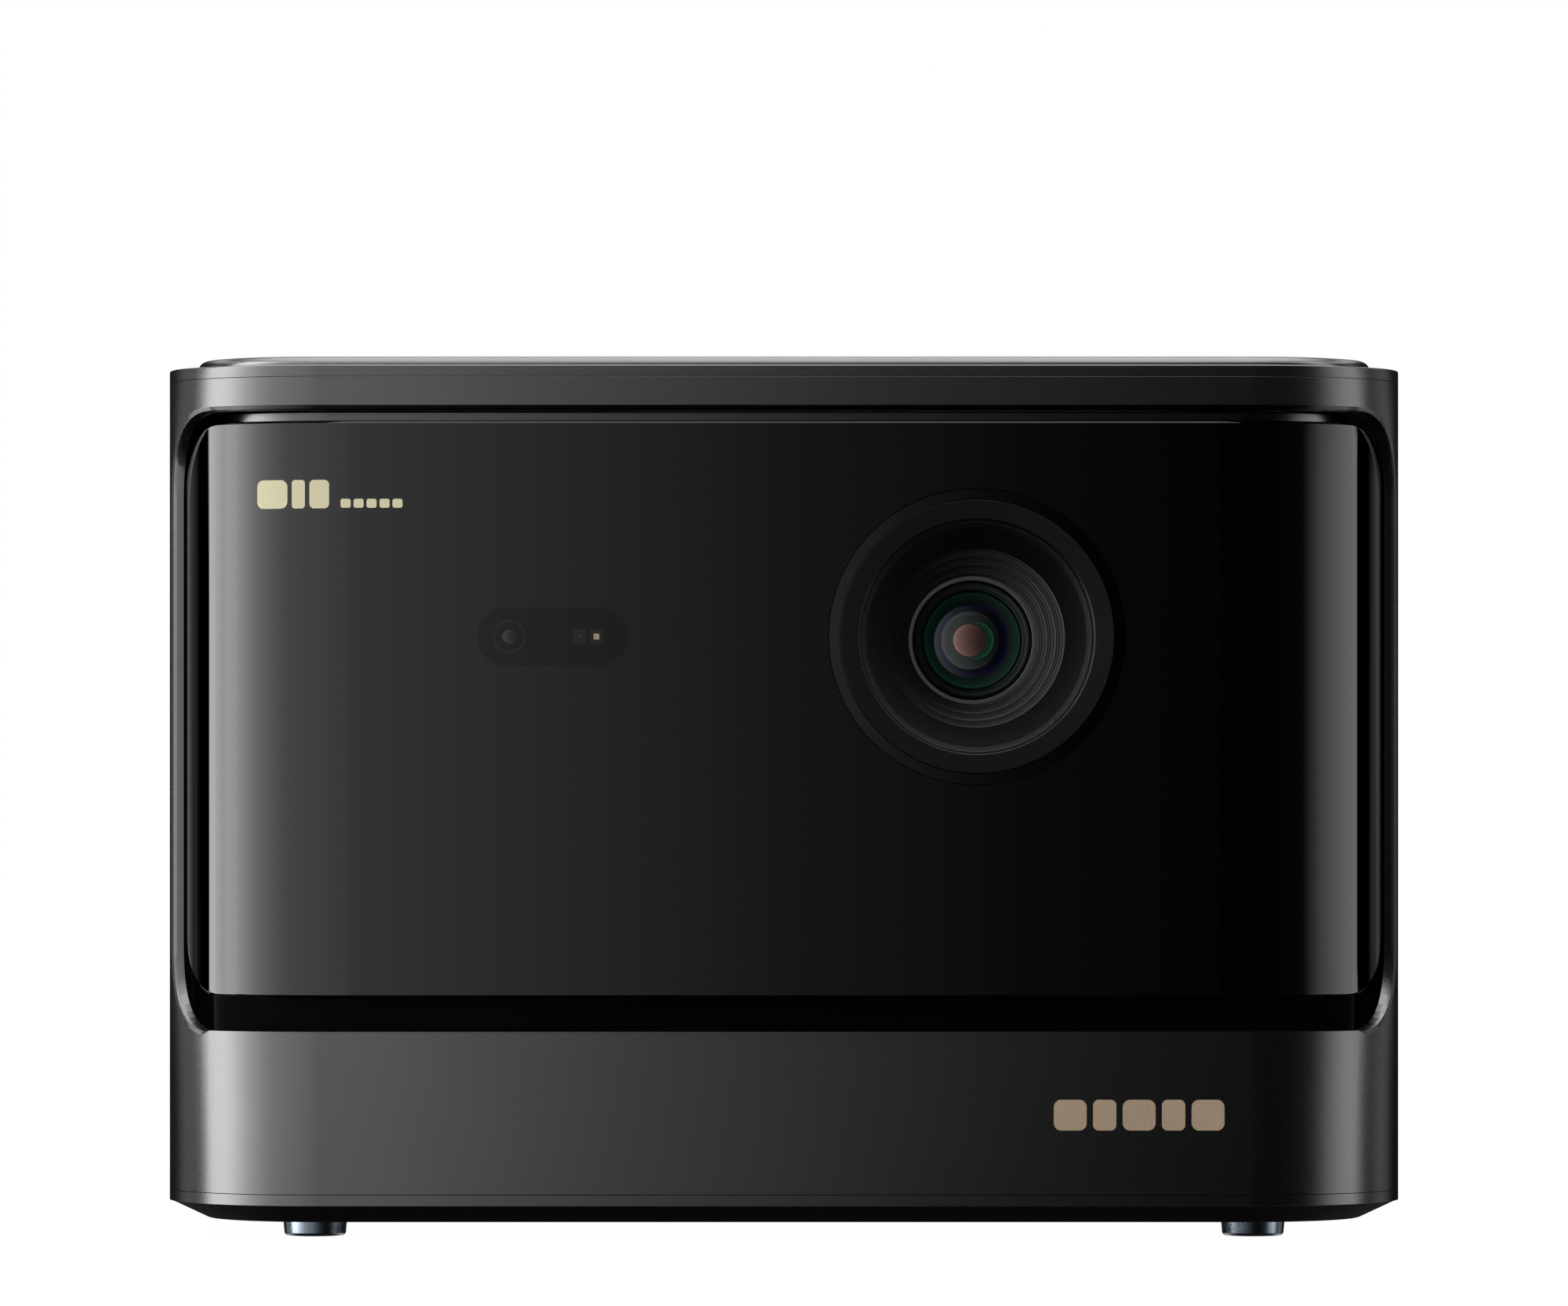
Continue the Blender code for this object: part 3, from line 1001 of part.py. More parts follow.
def build_rear(port_windows):
    """Port panel, power button with its switch board, and the exhaust grille above."""
    low = PANEL_LOW + FIT
    half = PANEL_HALF - FIT
    corner = PANEL_CORNER - FIT
    tight = 1 * MM
    panel = piece("rear_panel",
                  prism("Y", rounded_rect(-half, half, low, PANEL_TOP, (corner, tight, tight, corner), 6),
                                      PANEL_INNER, REAR), MATTE_BLACK)
    cut(panel, *port_windows)
    button_x = PANEL_HALF - BUTTON_SIDE_INSET
    button_z = PANEL_LOW + BUTTON_ABOVE_PANEL
    cut(panel, prism("Y", circle(button_x, button_z, BUTTON_RADIUS + FIT, SMALL_ROUND),
                     PANEL_INNER - CUT_OVER, REAR + CUT_OVER))
    cap = REAR - BUTTON_SINK
    catch = PANEL_INNER - FIT
    stem = catch - BUTTON_FLANGE
    edge = 0.4 * MM
    piece("power_button", turned("Y", button_x, button_z, ((0, cap), (BUTTON_RADIUS - edge, cap),
                                                           (BUTTON_RADIUS, cap - edge),
                                                           (BUTTON_RADIUS, catch),
                                                           (BUTTON_RADIUS + BUTTON_FLANGE, catch),
                                                           (BUTTON_RADIUS + BUTTON_FLANGE, stem),
                                                           (BUTTON_STEM_RADIUS, stem),
                                                           (BUTTON_STEM_RADIUS, stem - BUTTON_STEM_LENGTH),
                                                           (0, stem - BUTTON_STEM_LENGTH)), SMALL_ROUND),
                                                           SATIN_BLACK,
          origin=(button_x, REAR, button_z), smooth=True)
    board_high = stem - BUTTON_STEM_LENGTH - BUTTON_TRAVEL - FIT
    piece("button_board", prism("Y", rounded_rect(button_x - BUTTON_BOARD_HALF, button_x + BUTTON_BOARD_HALF,
                                                  button_z - BUTTON_BOARD_HALF, button_z + BUTTON_BOARD_HALF,
                                                  1.5 * MM, 2), board_high - BOARD_THICKNESS, board_high),
                                                  BOARD_GREEN)
    grille_low = PANEL_TOP + FIT
    grille_high = REAR_OPENING_TOP - FIT
    grille = piece("rear_grille", prism("Y", rounded_rect(-half, half, grille_low, grille_high,
                                                          (tight, corner, corner, tight), 6), PANEL_INNER,
                                                          REAR),
                   MATTE_BLACK)
    slots = slot_row(-half + GRILLE_MARGIN, half - GRILLE_MARGIN, grille_low + GRILLE_MARGIN,
                     grille_high - GRILLE_MARGIN)
    cut(grille, *(prism("Y", outline, PANEL_INNER - CUT_OVER, REAR + CUT_OVER) for outline in slots))


def slot_row(u_low, u_high, v_low, v_high):
    """Outlines of upright slots, evenly spaced and centred between two limits."""
    count = int((u_high - u_low - SLOT_WIDTH) / SLOT_PITCH) + 1
    first = (u_low + u_high) / 2 - SLOT_PITCH * (count - 1) / 2
    centres = (first + SLOT_PITCH * index for index in range(count))
    return [rectangle(u - SLOT_WIDTH / 2, u + SLOT_WIDTH / 2, v_low, v_high) for u in centres]


def build_sides():
    """Side grilles, and behind each one a loudspeaker box with its cone."""
    for hand, side in (("left", -1), ("right", 1)):
        low, high = sorted((side * GRILLE_INNER, side * SIDE))
        grille = piece("side_grille_" + hand, prism("X", side_opening(FIT), low, high), MATTE_BLACK)
        slots = slot_row(GRILLE_START + FIT + GRILLE_MARGIN, GRILLE_END - FIT - GRILLE_MARGIN,
                         GRILLE_LOW + FIT + GRILLE_MARGIN, GRILLE_HIGH - FIT - GRILLE_MARGIN)
        cut(grille, *(prism("X", outline, low - CUT_OVER, high + CUT_OVER) for outline in slots))
        build_speaker(hand, side)


def build_speaker(hand, side):
    """Loudspeaker box, open at its round mouth, and the cone that moves in the mouth."""
    low, high = sorted((side * SPEAKER_INNER, side * SPEAKER_OUTER))
    length = SPEAKER_HALF_LENGTH
    wall = SPEAKER_WALL
    cabinet = piece("speaker_box_" + hand, box(low, high, -length, length, SPEAKER_LOW, SPEAKER_TOP),
                    MATTE_BLACK)
    cut(cabinet,
        box(low + wall, high - wall, -length + wall, length - wall, SPEAKER_LOW + wall, SPEAKER_TOP - wall))
    mouth_low, mouth_high = sorted((side * (SPEAKER_OUTER - wall - CUT_OVER),
                                    side * (SPEAKER_OUTER + CUT_OVER)))
    cut(cabinet,
        prism("X", circle(0, SPEAKER_Z, CONE_RADIUS + CONE_CLEARANCE, MIDDLE_ROUND), mouth_low, mouth_high))
    face = side * SPEAKER_OUTER
    back = face - side * CONE_DEPTH
    skin = side * CONE_THICKNESS
    piece("speaker_cone_" + hand, turned("X", 0, SPEAKER_Z, ((0, back + side * CONE_DEPTH * 0.35),
                                                             (CONE_CAP_RADIUS, back),
                                                             (CONE_RADIUS * 0.9, face - skin),
                                                             (CONE_RADIUS, face - skin),
                                                             (CONE_RADIUS, face - 2 * skin),
                                                             (CONE_RADIUS * 0.9, face - 2 * skin),
                                                             (CONE_CAP_RADIUS, back - skin),
                                                             (0, back - skin)), MIDDLE_ROUND),
          GREY_PLASTIC, origin=(face, 0, SPEAKER_Z), smooth=True)


def build_projector():
    """Every sub-assembly, from the housing inwards."""
    build_shell()
    build_top()
    build_base()
    build_glass()
    build_bezel()
    build_lens()
    build_focus_drive()
    build_sensors()
    build_engine()
    build_heat_path()
    build_cooling()
    build_board()
    build_rear(build_ports())
    build_sides()


for leftover in list(bpy.data.objects):
    bpy.data.objects.remove(leftover)
build_projector()
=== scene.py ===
"""Looks of the home projector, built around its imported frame.

Everything is in metres, with +Z up and the floor at z = 0. The lens looks along -Y,
and +X is to the right of someone facing it.
"""

import json
import logging
import math
from collections.abc import Callable, Iterator, Sequence
from contextlib import contextmanager
from dataclasses import dataclass, field
from enum import Enum

import bmesh
import bpy
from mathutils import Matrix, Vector

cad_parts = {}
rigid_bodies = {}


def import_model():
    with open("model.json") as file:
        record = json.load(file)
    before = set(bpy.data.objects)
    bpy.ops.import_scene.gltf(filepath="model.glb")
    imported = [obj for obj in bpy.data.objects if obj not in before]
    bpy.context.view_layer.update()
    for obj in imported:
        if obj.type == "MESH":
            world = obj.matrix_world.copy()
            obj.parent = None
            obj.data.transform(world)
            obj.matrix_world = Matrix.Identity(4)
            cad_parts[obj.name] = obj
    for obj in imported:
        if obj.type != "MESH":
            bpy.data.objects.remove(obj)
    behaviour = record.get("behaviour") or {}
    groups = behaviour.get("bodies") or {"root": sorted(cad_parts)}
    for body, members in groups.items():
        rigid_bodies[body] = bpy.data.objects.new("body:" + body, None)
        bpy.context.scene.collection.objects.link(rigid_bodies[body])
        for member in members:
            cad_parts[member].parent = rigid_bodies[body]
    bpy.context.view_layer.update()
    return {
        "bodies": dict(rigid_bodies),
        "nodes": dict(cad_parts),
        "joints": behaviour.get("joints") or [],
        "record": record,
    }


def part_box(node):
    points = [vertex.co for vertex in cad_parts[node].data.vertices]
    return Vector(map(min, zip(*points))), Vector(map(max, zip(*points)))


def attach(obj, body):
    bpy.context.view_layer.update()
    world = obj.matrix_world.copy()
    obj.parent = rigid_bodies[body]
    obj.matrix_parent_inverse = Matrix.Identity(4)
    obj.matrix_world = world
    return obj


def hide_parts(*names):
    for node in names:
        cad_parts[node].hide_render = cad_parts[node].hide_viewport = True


LOG = logging.getLogger("projector")
MM = 0.001
CHASSIS = "chassis"

Pair = tuple[float, float]
Triple = tuple[float, float, float]


class Axis(Enum):
    """Axis of the frame, as an index into a point."""

    X = 0
    Y = 1
    Z = 2

    @property
    def vector(self) -> Vector:
        """Unit vector along the axis."""
        return Vector([float(index == self.value) for index in range(3)])

    @property
    def turn(self) -> Triple:
        """Rotation that takes +Z onto the axis."""
        quarter = math.pi / 2
        return {0: (0.0, quarter, 0.0), 1: (-quarter, 0.0, 0.0), 2: (0.0, 0.0, 0.0)}[self.value]


class Element(Enum):
    """Kind of mesh element that a selection takes."""

    VERT = "VERT"
    EDGE = "EDGE"
    FACE = "FACE"


def clear_selection() -> None:
    """Leave edit mode and deselect every object."""
    if bpy.context.object and bpy.context.object.mode != "OBJECT":
        bpy.ops.object.mode_set(mode="OBJECT")
    bpy.ops.object.select_all(action="DESELECT")


def arc(centre: Pair, radius: float, start: float, end: float, steps: int) -> list[Pair]:
    """Points along an arc.

    Args:
        centre: Centre of the arc.
        radius: Its radius.
        start: First angle in degrees.
        end: Last angle in degrees.
        steps: Number of segments.

    Returns:
        The points, both ends included.
    """
    angles = (math.radians(start + (end - start) * step / steps) for step in range(steps + 1))
    return [(centre[0] + radius * math.cos(a), centre[1] + radius * math.sin(a)) for a in angles]


def fillet(points: Sequence[tuple[float, float, float]], steps: int = 5) -> list[Pair]:
    """Round the corners of a closed outline.

    Args:
        points: (radius, height, corner radius) of each corner.
        steps: Segments in each rounded corner.

    Returns:
        The outline with its corners rounded.
    """
    outline: list[Pair] = []
    for index, (u, v, radius) in enumerate(points):
        here = Vector((u, v))
        before = Vector(points[index - 1][:2]) - here
        after = Vector(points[(index + 1) % len(points)][:2]) - here
        if radius <= 0:
            outline.append((u, v))
            continue
        half = before.angle(after) / 2
        reach = radius / math.tan(half)
        start, end = here + before.normalized() * reach, here + after.normalized() * reach
        middle = here + (before.normalized() + after.normalized()).normalized() * radius / math.sin(half)
        first, last = start - middle, end - middle
        span = first.angle_signed(last)
        for step in range(steps + 1):
            angle = -span * step / steps
            outline.append((middle.x + first.x * math.cos(angle) - first.y * math.sin(angle),
                            middle.y + first.x * math.sin(angle) + first.y * math.cos(angle)))
    return outline


class Nodes:
    """Short hand for wiring the node tree of one material or world."""

    def __init__(self, tree: bpy.types.NodeTree) -> None:
        """Empty the tree and keep it."""
        self.tree = tree
        tree.nodes.clear()

    def add(self, kind: str, **settings: object) -> bpy.types.Node:
        """Add a node.

        Args:
            kind: Node type without the ShaderNode prefix.
            settings: Node properties to set.

        Returns:
            The new node.
        """
        node = self.tree.nodes.new("ShaderNode" + kind)
        for name, value in settings.items():
            setattr(node, name, value)
        return node

    def link(self, source: bpy.types.NodeSocket, target: bpy.types.NodeSocket) -> None:
        """Join two sockets."""
        self.tree.links.new(source, target)

    def math(self, operation: str, *values: object) -> bpy.types.NodeSocket:
        """Math node.

        Args:
            operation: Name of the operation.
            values: A socket or a number for each input.

        Returns:
            The result's socket.
        """
        node = self.add("Math", operation=operation)
        for socket, value in zip(node.inputs, values):
            if isinstance(value, (int, float)):
                socket.default_value = value
            else:
                self.link(value, socket)
        return node.outputs[0]

    def fade(self, value: bpy.types.NodeSocket, low: float, high: float,
             out_low: float = 0.0, out_high: float = 1.0) -> bpy.types.NodeSocket:
        """Smooth step of a value from low to high.

        Args:
            value: The socket that is read.
            low: Value where the step starts.
            high: Value where the step ends.
            out_low: Result below the step.
            out_high: Result above the step.

        Returns:
            The result's socket.
        """
        node = self.add("MapRange", interpolation_type="SMOOTHSTEP")
        self.link(value, node.inputs["Value"])
        for name, number in (("From Min", low), ("From Max", high), ("To Min", out_low),
                             ("To Max", out_high)):
            node.inputs[name].default_value = number
        return node.outputs["Result"]

    def ramp(self, value: bpy.types.NodeSocket, stops: Sequence[tuple[float, Triple]],
             interpolation: str = "LINEAR") -> bpy.types.NodeSocket:
        """Colour ramp.

        Args:
            value: The socket that is read, from 0 to 1.
            stops: (position, colour) of each stop.
            interpolation: How the stops are joined.

        Returns:
            The colour socket.
        """
        node = self.add("ValToRGB")
        node.color_ramp.interpolation = interpolation
        elements = node.color_ramp.elements
        while len(elements) < len(stops):
            elements.new(0.5)
        for element, (position, colour) in zip(elements, stops):
            element.position = position
            element.color = (*colour, 1.0)
        self.link(value, node.inputs[0])
        return node.outputs["Color"]

    def blend(self, share: bpy.types.NodeSocket, first: object, second: object) -> bpy.types.NodeSocket:
        """Mix of two colours.

        Args:
            share: Socket with the share of the second colour.
            first: A socket or a colour.
            second: A socket or a colour.

        Returns:
            The mixed colour's socket.
        """
        node = self.add("Mix", data_type="RGBA")
        self.link(share, node.inputs[0])
        for socket, value in ((node.inputs[6], first), (node.inputs[7], second)):
            if isinstance(value, tuple):
                socket.default_value = (*value, 1.0)
            else:
                self.link(value, socket)
        return node.outputs[2]

    def place(self, centre: Triple = (0.0, 0.0, 0.0),
              stretch: Triple = (1.0, 1.0, 1.0)) -> bpy.types.NodeSocket:
        """Object coordinates, moved and scaled.

        Args:
            centre: Point that becomes the origin.
            stretch: Factor along each axis.

        Returns:
            The vector socket.
        """
        where = self.add("TexCoord")
        mapping = self.add("Mapping")
        mapping.inputs["Location"].default_value = [-c * s for c, s in zip(centre, stretch)]
        mapping.inputs["Scale"].default_value = stretch
        self.link(where.outputs["Object"], mapping.inputs["Vector"])
        return mapping.outputs["Vector"]

    def noise(self, vector: bpy.types.NodeSocket, scale: float, detail: float = 3.0) -> bpy.types.NodeSocket:
        """Noise value.

        Args:
            vector: Coordinates.
            scale: Number of features in a metre.
            detail: Octaves.

        Returns:
            The value socket.
        """
        node = self.add("TexNoise")
        node.inputs["Scale"].default_value = scale
        node.inputs["Detail"].default_value = detail
        self.link(vector, node.inputs["Vector"])
        return node.outputs[0]


@dataclass(frozen=True)
class Finish:
    """Surface finish: two close tones, a roughness range and a fine grain."""

    name: str
    slot: str
    tones: tuple[Triple, Triple]
    roughness: Pair
    metallic: float = 0.0
    grain: float = 2500.0
    relief: float = 0.02
    stretch: Triple = (1.0, 1.0, 1.0)
    blotch: float = 18.0
    coat: float = 0.0
    coat_roughness: float = 0.03
    specular: float = 0.5

    def colour(self, nodes: Nodes) -> bpy.types.NodeSocket:
        """Base colour: the two tones mixed by broad and fine noise."""
        broad = nodes.noise(nodes.place(), self.blotch, 2.0)
        fine = nodes.noise(nodes.place(stretch=self.stretch), self.grain)
        share = nodes.fade(nodes.math("ADD", nodes.math("MULTIPLY", broad, 0.5),
                                      nodes.math("MULTIPLY", fine, 0.5)), 0.35, 0.65)
        return nodes.blend(share, *self.tones)

    def relief_height(self, nodes: Nodes) -> bpy.types.NodeSocket:
        """Height pattern for the bump."""
        return nodes.noise(nodes.place(stretch=self.stretch), self.grain, 4.0)

    def material(self) -> bpy.types.Material:
        """Node material of this finish, made once."""
        known = bpy.data.materials.get(self.name)
        if known:
            return known
        made = bpy.data.materials.new(self.name)
        made.use_nodes = True
        nodes = Nodes(made.node_tree)
        shader = nodes.add("BsdfPrincipled")
        nodes.link(self.colour(nodes), shader.inputs["Base Color"])
        height = self.relief_height(nodes)
        nodes.link(nodes.fade(height, 0.3, 0.7, *self.roughness), shader.inputs["Roughness"])
        shader.inputs["Metallic"].default_value = self.metallic
        shader.inputs["Specular IOR Level"].default_value = self.specular
        shader.inputs["Coat Weight"].default_value = self.coat
        shader.inputs["Coat Roughness"].default_value = self.coat_roughness
        if self.relief:
            bump = nodes.add("Bump")
            bump.inputs["Strength"].default_value = self.relief
            bump.inputs["Distance"].default_value = 0.05 * MM
            nodes.link(height, bump.inputs["Height"])
            nodes.link(bump.outputs[0], shader.inputs["Normal"])
        out = nodes.add("OutputMaterial")
        nodes.link(shader.outputs[0], out.inputs["Surface"])
        return made


@dataclass(frozen=True)
class Zones(Finish):
    """Coated glass whose colour runs in rings out from its centre and across it from left to right. On the
    lens elements the ring colours are painted reflections of the coated glass, and the left-to-right tint is
    painted light and shade.
    """

    centre: Triple = (0.0, 0.0, 0.0)
    radius: float = 1.0
    rings: tuple[tuple[float, Triple], ...] = ()
    # shade: tints at the left and right edges, painted light and shade across the glass
    shade: tuple[Triple, Triple] = ((1.0, 1.0, 1.0), (1.0, 1.0, 1.0))

    def colour(self, nodes: Nodes) -> bpy.types.NodeSocket:
        """Ring colours by distance from the centre, tinted from left to right; the tint is painted light and
        shade.
        """
        place = nodes.place(self.centre, (1 / self.radius, 0.0, 1 / self.radius))
        length = nodes.add("VectorMath", operation="LENGTH")
        nodes.link(place, length.inputs[0])
        split = nodes.add("SeparateXYZ")
        nodes.link(place, split.inputs[0])
        # painted light and shade: the ring colours are scaled from the left tint to the right tint
        side = nodes.fade(split.outputs["X"], -1.0, 1.0)
        tint = nodes.blend(side, *self.shade)
        mix = nodes.add("Mix", data_type="RGBA", blend_type="MULTIPLY")
        mix.inputs[0].default_value = 1.0
        nodes.link(nodes.ramp(length.outputs["Value"], self.rings, "EASE"), mix.inputs[6])
        nodes.link(tint, mix.inputs[7])
        return mix.outputs[2]


@dataclass(frozen=True)
class Turned(Finish):
    """Finish with fine turning marks round an axis along Y."""

    centre: Triple = (0.0, 0.0, 0.0)
    marks: float = 4200.0

    def relief_height(self, nodes: Nodes) -> bpy.types.NodeSocket:
        """Rings of equal width round the centre."""
        length = nodes.add("VectorMath", operation="LENGTH")
        nodes.link(nodes.place(self.centre, (1.0, 0.0, 1.0)), length.inputs[0])
        wave = nodes.math("SINE", nodes.math("MULTIPLY", length.outputs["Value"], self.marks * math.tau))
        return nodes.math("ADD", nodes.math("MULTIPLY", wave, 0.25), 0.5)


def grey(value: float, blue: float = 1.03) -> Triple:
    """Neutral colour with a touch of blue."""
    return (value, value, value * blue)


PAINT = Finish("satin_gunmetal_paint", "gunmetal", (grey(0.104), grey(0.116)), (0.24, 0.30), 1.0,
               grain=5200.0, relief=0.035)
COVER_PAINT = Finish("top_plate_paint", "cover_plate", (grey(0.112), grey(0.126)), (0.22, 0.28), 1.0,
                     grain=5200.0, relief=0.03)
GLOSS_GLASS = Finish("gloss_black_glass", "gloss_black", (grey(0.0), grey(0.0002)), (0.012, 0.03),
                     grain=900.0, relief=0.0)
GLOSS_PLASTIC = Finish("bezel_plastic", "gloss_plastic", (grey(0.092), grey(0.102)), (0.20, 0.26), 1.0,
                       grain=4200.0, relief=0.03)
# Near-black with almost no reflection, for the recess floor and the chin under the glass: a dark piece
# standing for the shade in the recess, as painted shade.
RECESS_SHADE_BLACK = Finish("recess_painted_shade_black", "gloss_plastic", (grey(0.0006), grey(0.0015)), (0.35, 0.5),
                    grain=3800.0, relief=0.05, specular=0.03)
# Darker, smoother copy of the gunmetal paint for the upper chamfer of the recess: painted shade, standing
# for the dark that the chamfer reflects.
LIP_SHADE_PAINT = Finish("recess_lip_painted_shade", "gunmetal_paint", (grey(0.030), grey(0.036)), (0.12, 0.16), 0.97,
                   grain=2600.0, relief=0.02)
# Black plastic of the base, darkened further and with almost no reflection: partly its own black, partly
# painted shade under the object.
BASE_BLACK_AND_SHADE = Finish("base_black_plastic_and_shade", "matte_black", (grey(0.0008), grey(0.002)), (0.5, 0.6),
                    grain=3800.0, relief=0.05, specular=0.02)
SATIN_BLACK = Finish("satin_black_anodised", "satin_black", (grey(0.053), grey(0.061)), (0.31, 0.37), 0.985,
                     grain=6500.0, relief=0.05)
TRIM_GLOSS = Finish("lens_ring_gloss", "satin_black", (grey(0.0), grey(0.0004)), (0.03, 0.06),
                    grain=2000.0, relief=0.0)
MATTE_BLACK = Finish("matte_black_plastic", "matte_black", (grey(0.010), grey(0.018)), (0.48, 0.62),
                     grain=3400.0, relief=0.14)
HOOD_BLACK = Finish("lens_hood_black", "matte_black", (grey(0.030), grey(0.040)), (0.36, 0.44), 0.6,
                    grain=5200.0, relief=0.04)
GREY_PLASTIC = Finish("grey_plastic", "grey_plastic", (grey(0.085), grey(0.12)), (0.42, 0.55),
                      grain=3000.0, relief=0.1)
BAFFLE = Finish("lens_baffle_black", "matte_black", (grey(0.055), grey(0.070)), (0.30, 0.38), 0.9,
                grain=5200.0, relief=0.03)
FOOT_RUBBER = Finish("foot_blue_grey", "foot_grey", ((0.36, 0.42, 0.50), (0.42, 0.48, 0.56)), (0.22, 0.30),
                     1.0,
                     grain=3600.0, relief=0.04)
STEEL = Finish("brushed_steel", "steel", (grey(0.50), grey(0.60)), (0.22, 0.34), 1.0,
               grain=900.0, relief=0.06, stretch=(1.0, 12.0, 1.0))
PALE_RING = Finish("retaining_ring_steel", "steel", (grey(0.30), grey(0.36)), (0.25, 0.34), 1.0,
                   grain=2600.0, relief=0.05)
ALUMINIUM = Finish("cast_aluminium", "aluminium", (grey(0.52), grey(0.64)), (0.32, 0.46), 1.0,
                   grain=1400.0, relief=0.12)
COPPER = Finish("copper", "copper", ((0.70, 0.34, 0.20), (0.80, 0.42, 0.27)), (0.22, 0.34), 1.0,
                grain=1100.0, relief=0.06, stretch=(0.2, 1.0, 1.0))
BRASS = Finish("brass", "brass", ((0.66, 0.48, 0.20), (0.76, 0.58, 0.27)), (0.24, 0.36), 1.0,
               grain=1800.0, relief=0.06)
BOARD = Finish("board_green", "board_green", ((0.012, 0.085, 0.038), (0.022, 0.125, 0.055)), (0.34, 0.5),
               grain=420.0, relief=0.1, blotch=160.0, coat=0.3)
CLEAR = Finish("lens_element_glass", "lens_glass", ((0.02, 0.05, 0.045), (0.03, 0.06, 0.06)), (0.02, 0.04),
               grain=900.0, relief=0.0, coat=1.0)
GOLD = Finish("pale_gold_ink", "gloss_black", ((0.97, 0.90, 0.55), (1.0, 0.95, 0.62)), (0.30, 0.40),
              grain=4200.0, relief=0.05)
TAN_GOLD = Finish("tan_gold_ink", "gunmetal", ((0.46, 0.34, 0.22), (0.56, 0.42, 0.28)), (0.32, 0.42),
                  grain=4200.0, relief=0.05)
GOLD_CONTACT = Finish("contact_gold", "brass", ((0.78, 0.58, 0.24), (0.88, 0.68, 0.32)), (0.2, 0.3), 1.0,
                      grain=3000.0, relief=0.04)
SOCKET_BLUE = Finish("socket_tongue_blue", "matte_black", ((0.02, 0.07, 0.32), (0.03, 0.10, 0.42)),
                     (0.38, 0.5),
                     grain=3000.0, relief=0.08)
LED_WHITE = Finish("status_light", "grey_plastic", ((0.75, 0.78, 0.80), (0.85, 0.88, 0.90)), (0.25, 0.35),
                   grain=2600.0, relief=0.04)
BY_SLOT = {
    "gunmetal": PAINT, "cover_plate": COVER_PAINT, "gloss_black": GLOSS_GLASS,
    "gloss_plastic": GLOSS_PLASTIC,
    "satin_black": SATIN_BLACK, "matte_black": MATTE_BLACK, "grey_plastic": GREY_PLASTIC,
    "foot_grey": FOOT_RUBBER, "steel": STEEL, "aluminium": ALUMINIUM, "copper": COPPER, "brass": BRASS,
    "board_green": BOARD, "lens_glass": CLEAR,
}


@dataclass
class Plan:
    """Plan outline of the housing, along which flat sheets are bent."""

    half_width: float
    half_depth: float
    radius: float
    columns: int = 30
    curve_steps: int = 96

    @property
    def length(self) -> float:
        """Length of the whole outline."""
        return 4 * (self.half_width + self.half_depth - 2 * self.radius) + math.tau * self.radius

    def corner(self, degrees: float) -> float:
        """Distance along the outline from the front's middle to a point of the front corner.

        Args:
            degrees: How far the surface has turned from facing the front.

        Returns:
            The distance.
        """
        return self.half_width - self.radius + self.radius * math.radians(degrees)

    def side(self, y: float) -> float:
        """Distance along the outline from the front's middle to a point of the side."""
        return self.corner(90) + y + self.half_depth - self.radius

    def rear(self, x: float) -> float:
        """Distance along the outline from the front's middle to a point of the rear."""
        return self.length / 2 - abs(x)

    def cuts(self) -> list[float]:
        """Places, from the front's middle, where a flat sheet is divided so that it bends smoothly."""
        front = [self.corner(90 * step / self.columns) for step in range(self.columns + 1)]
        rear = [self.length / 2 - distance for distance in front]
        return front + rear

    def curve(self) -> bpy.types.Object:
        """Curve that starts at the middle of the rear and goes round by the left side."""
        across, along = self.half_width - self.radius, self.half_depth - self.radius
        points = [(0.0, self.half_depth)]
        for x, y, start in ((-across, along, 90), (-across, -along, 180), (across, -along, 270),
                            (across, along, 0)):
            points += arc((x, y), self.radius, start, start + 90, self.curve_steps)
        data = bpy.data.curves.new("plan", "CURVE")
        data.dimensions = "3D"
        spline = data.splines.new("POLY")
        spline.points.add(len(points) - 1)
        for point, (x, y) in zip(spline.points, points):
            point.co = (x, y, 0.0, 1.0)
        spline.use_cyclic_u = True
        made = bpy.data.objects.new("plan", data)
        bpy.context.scene.collection.objects.link(made)
        return made


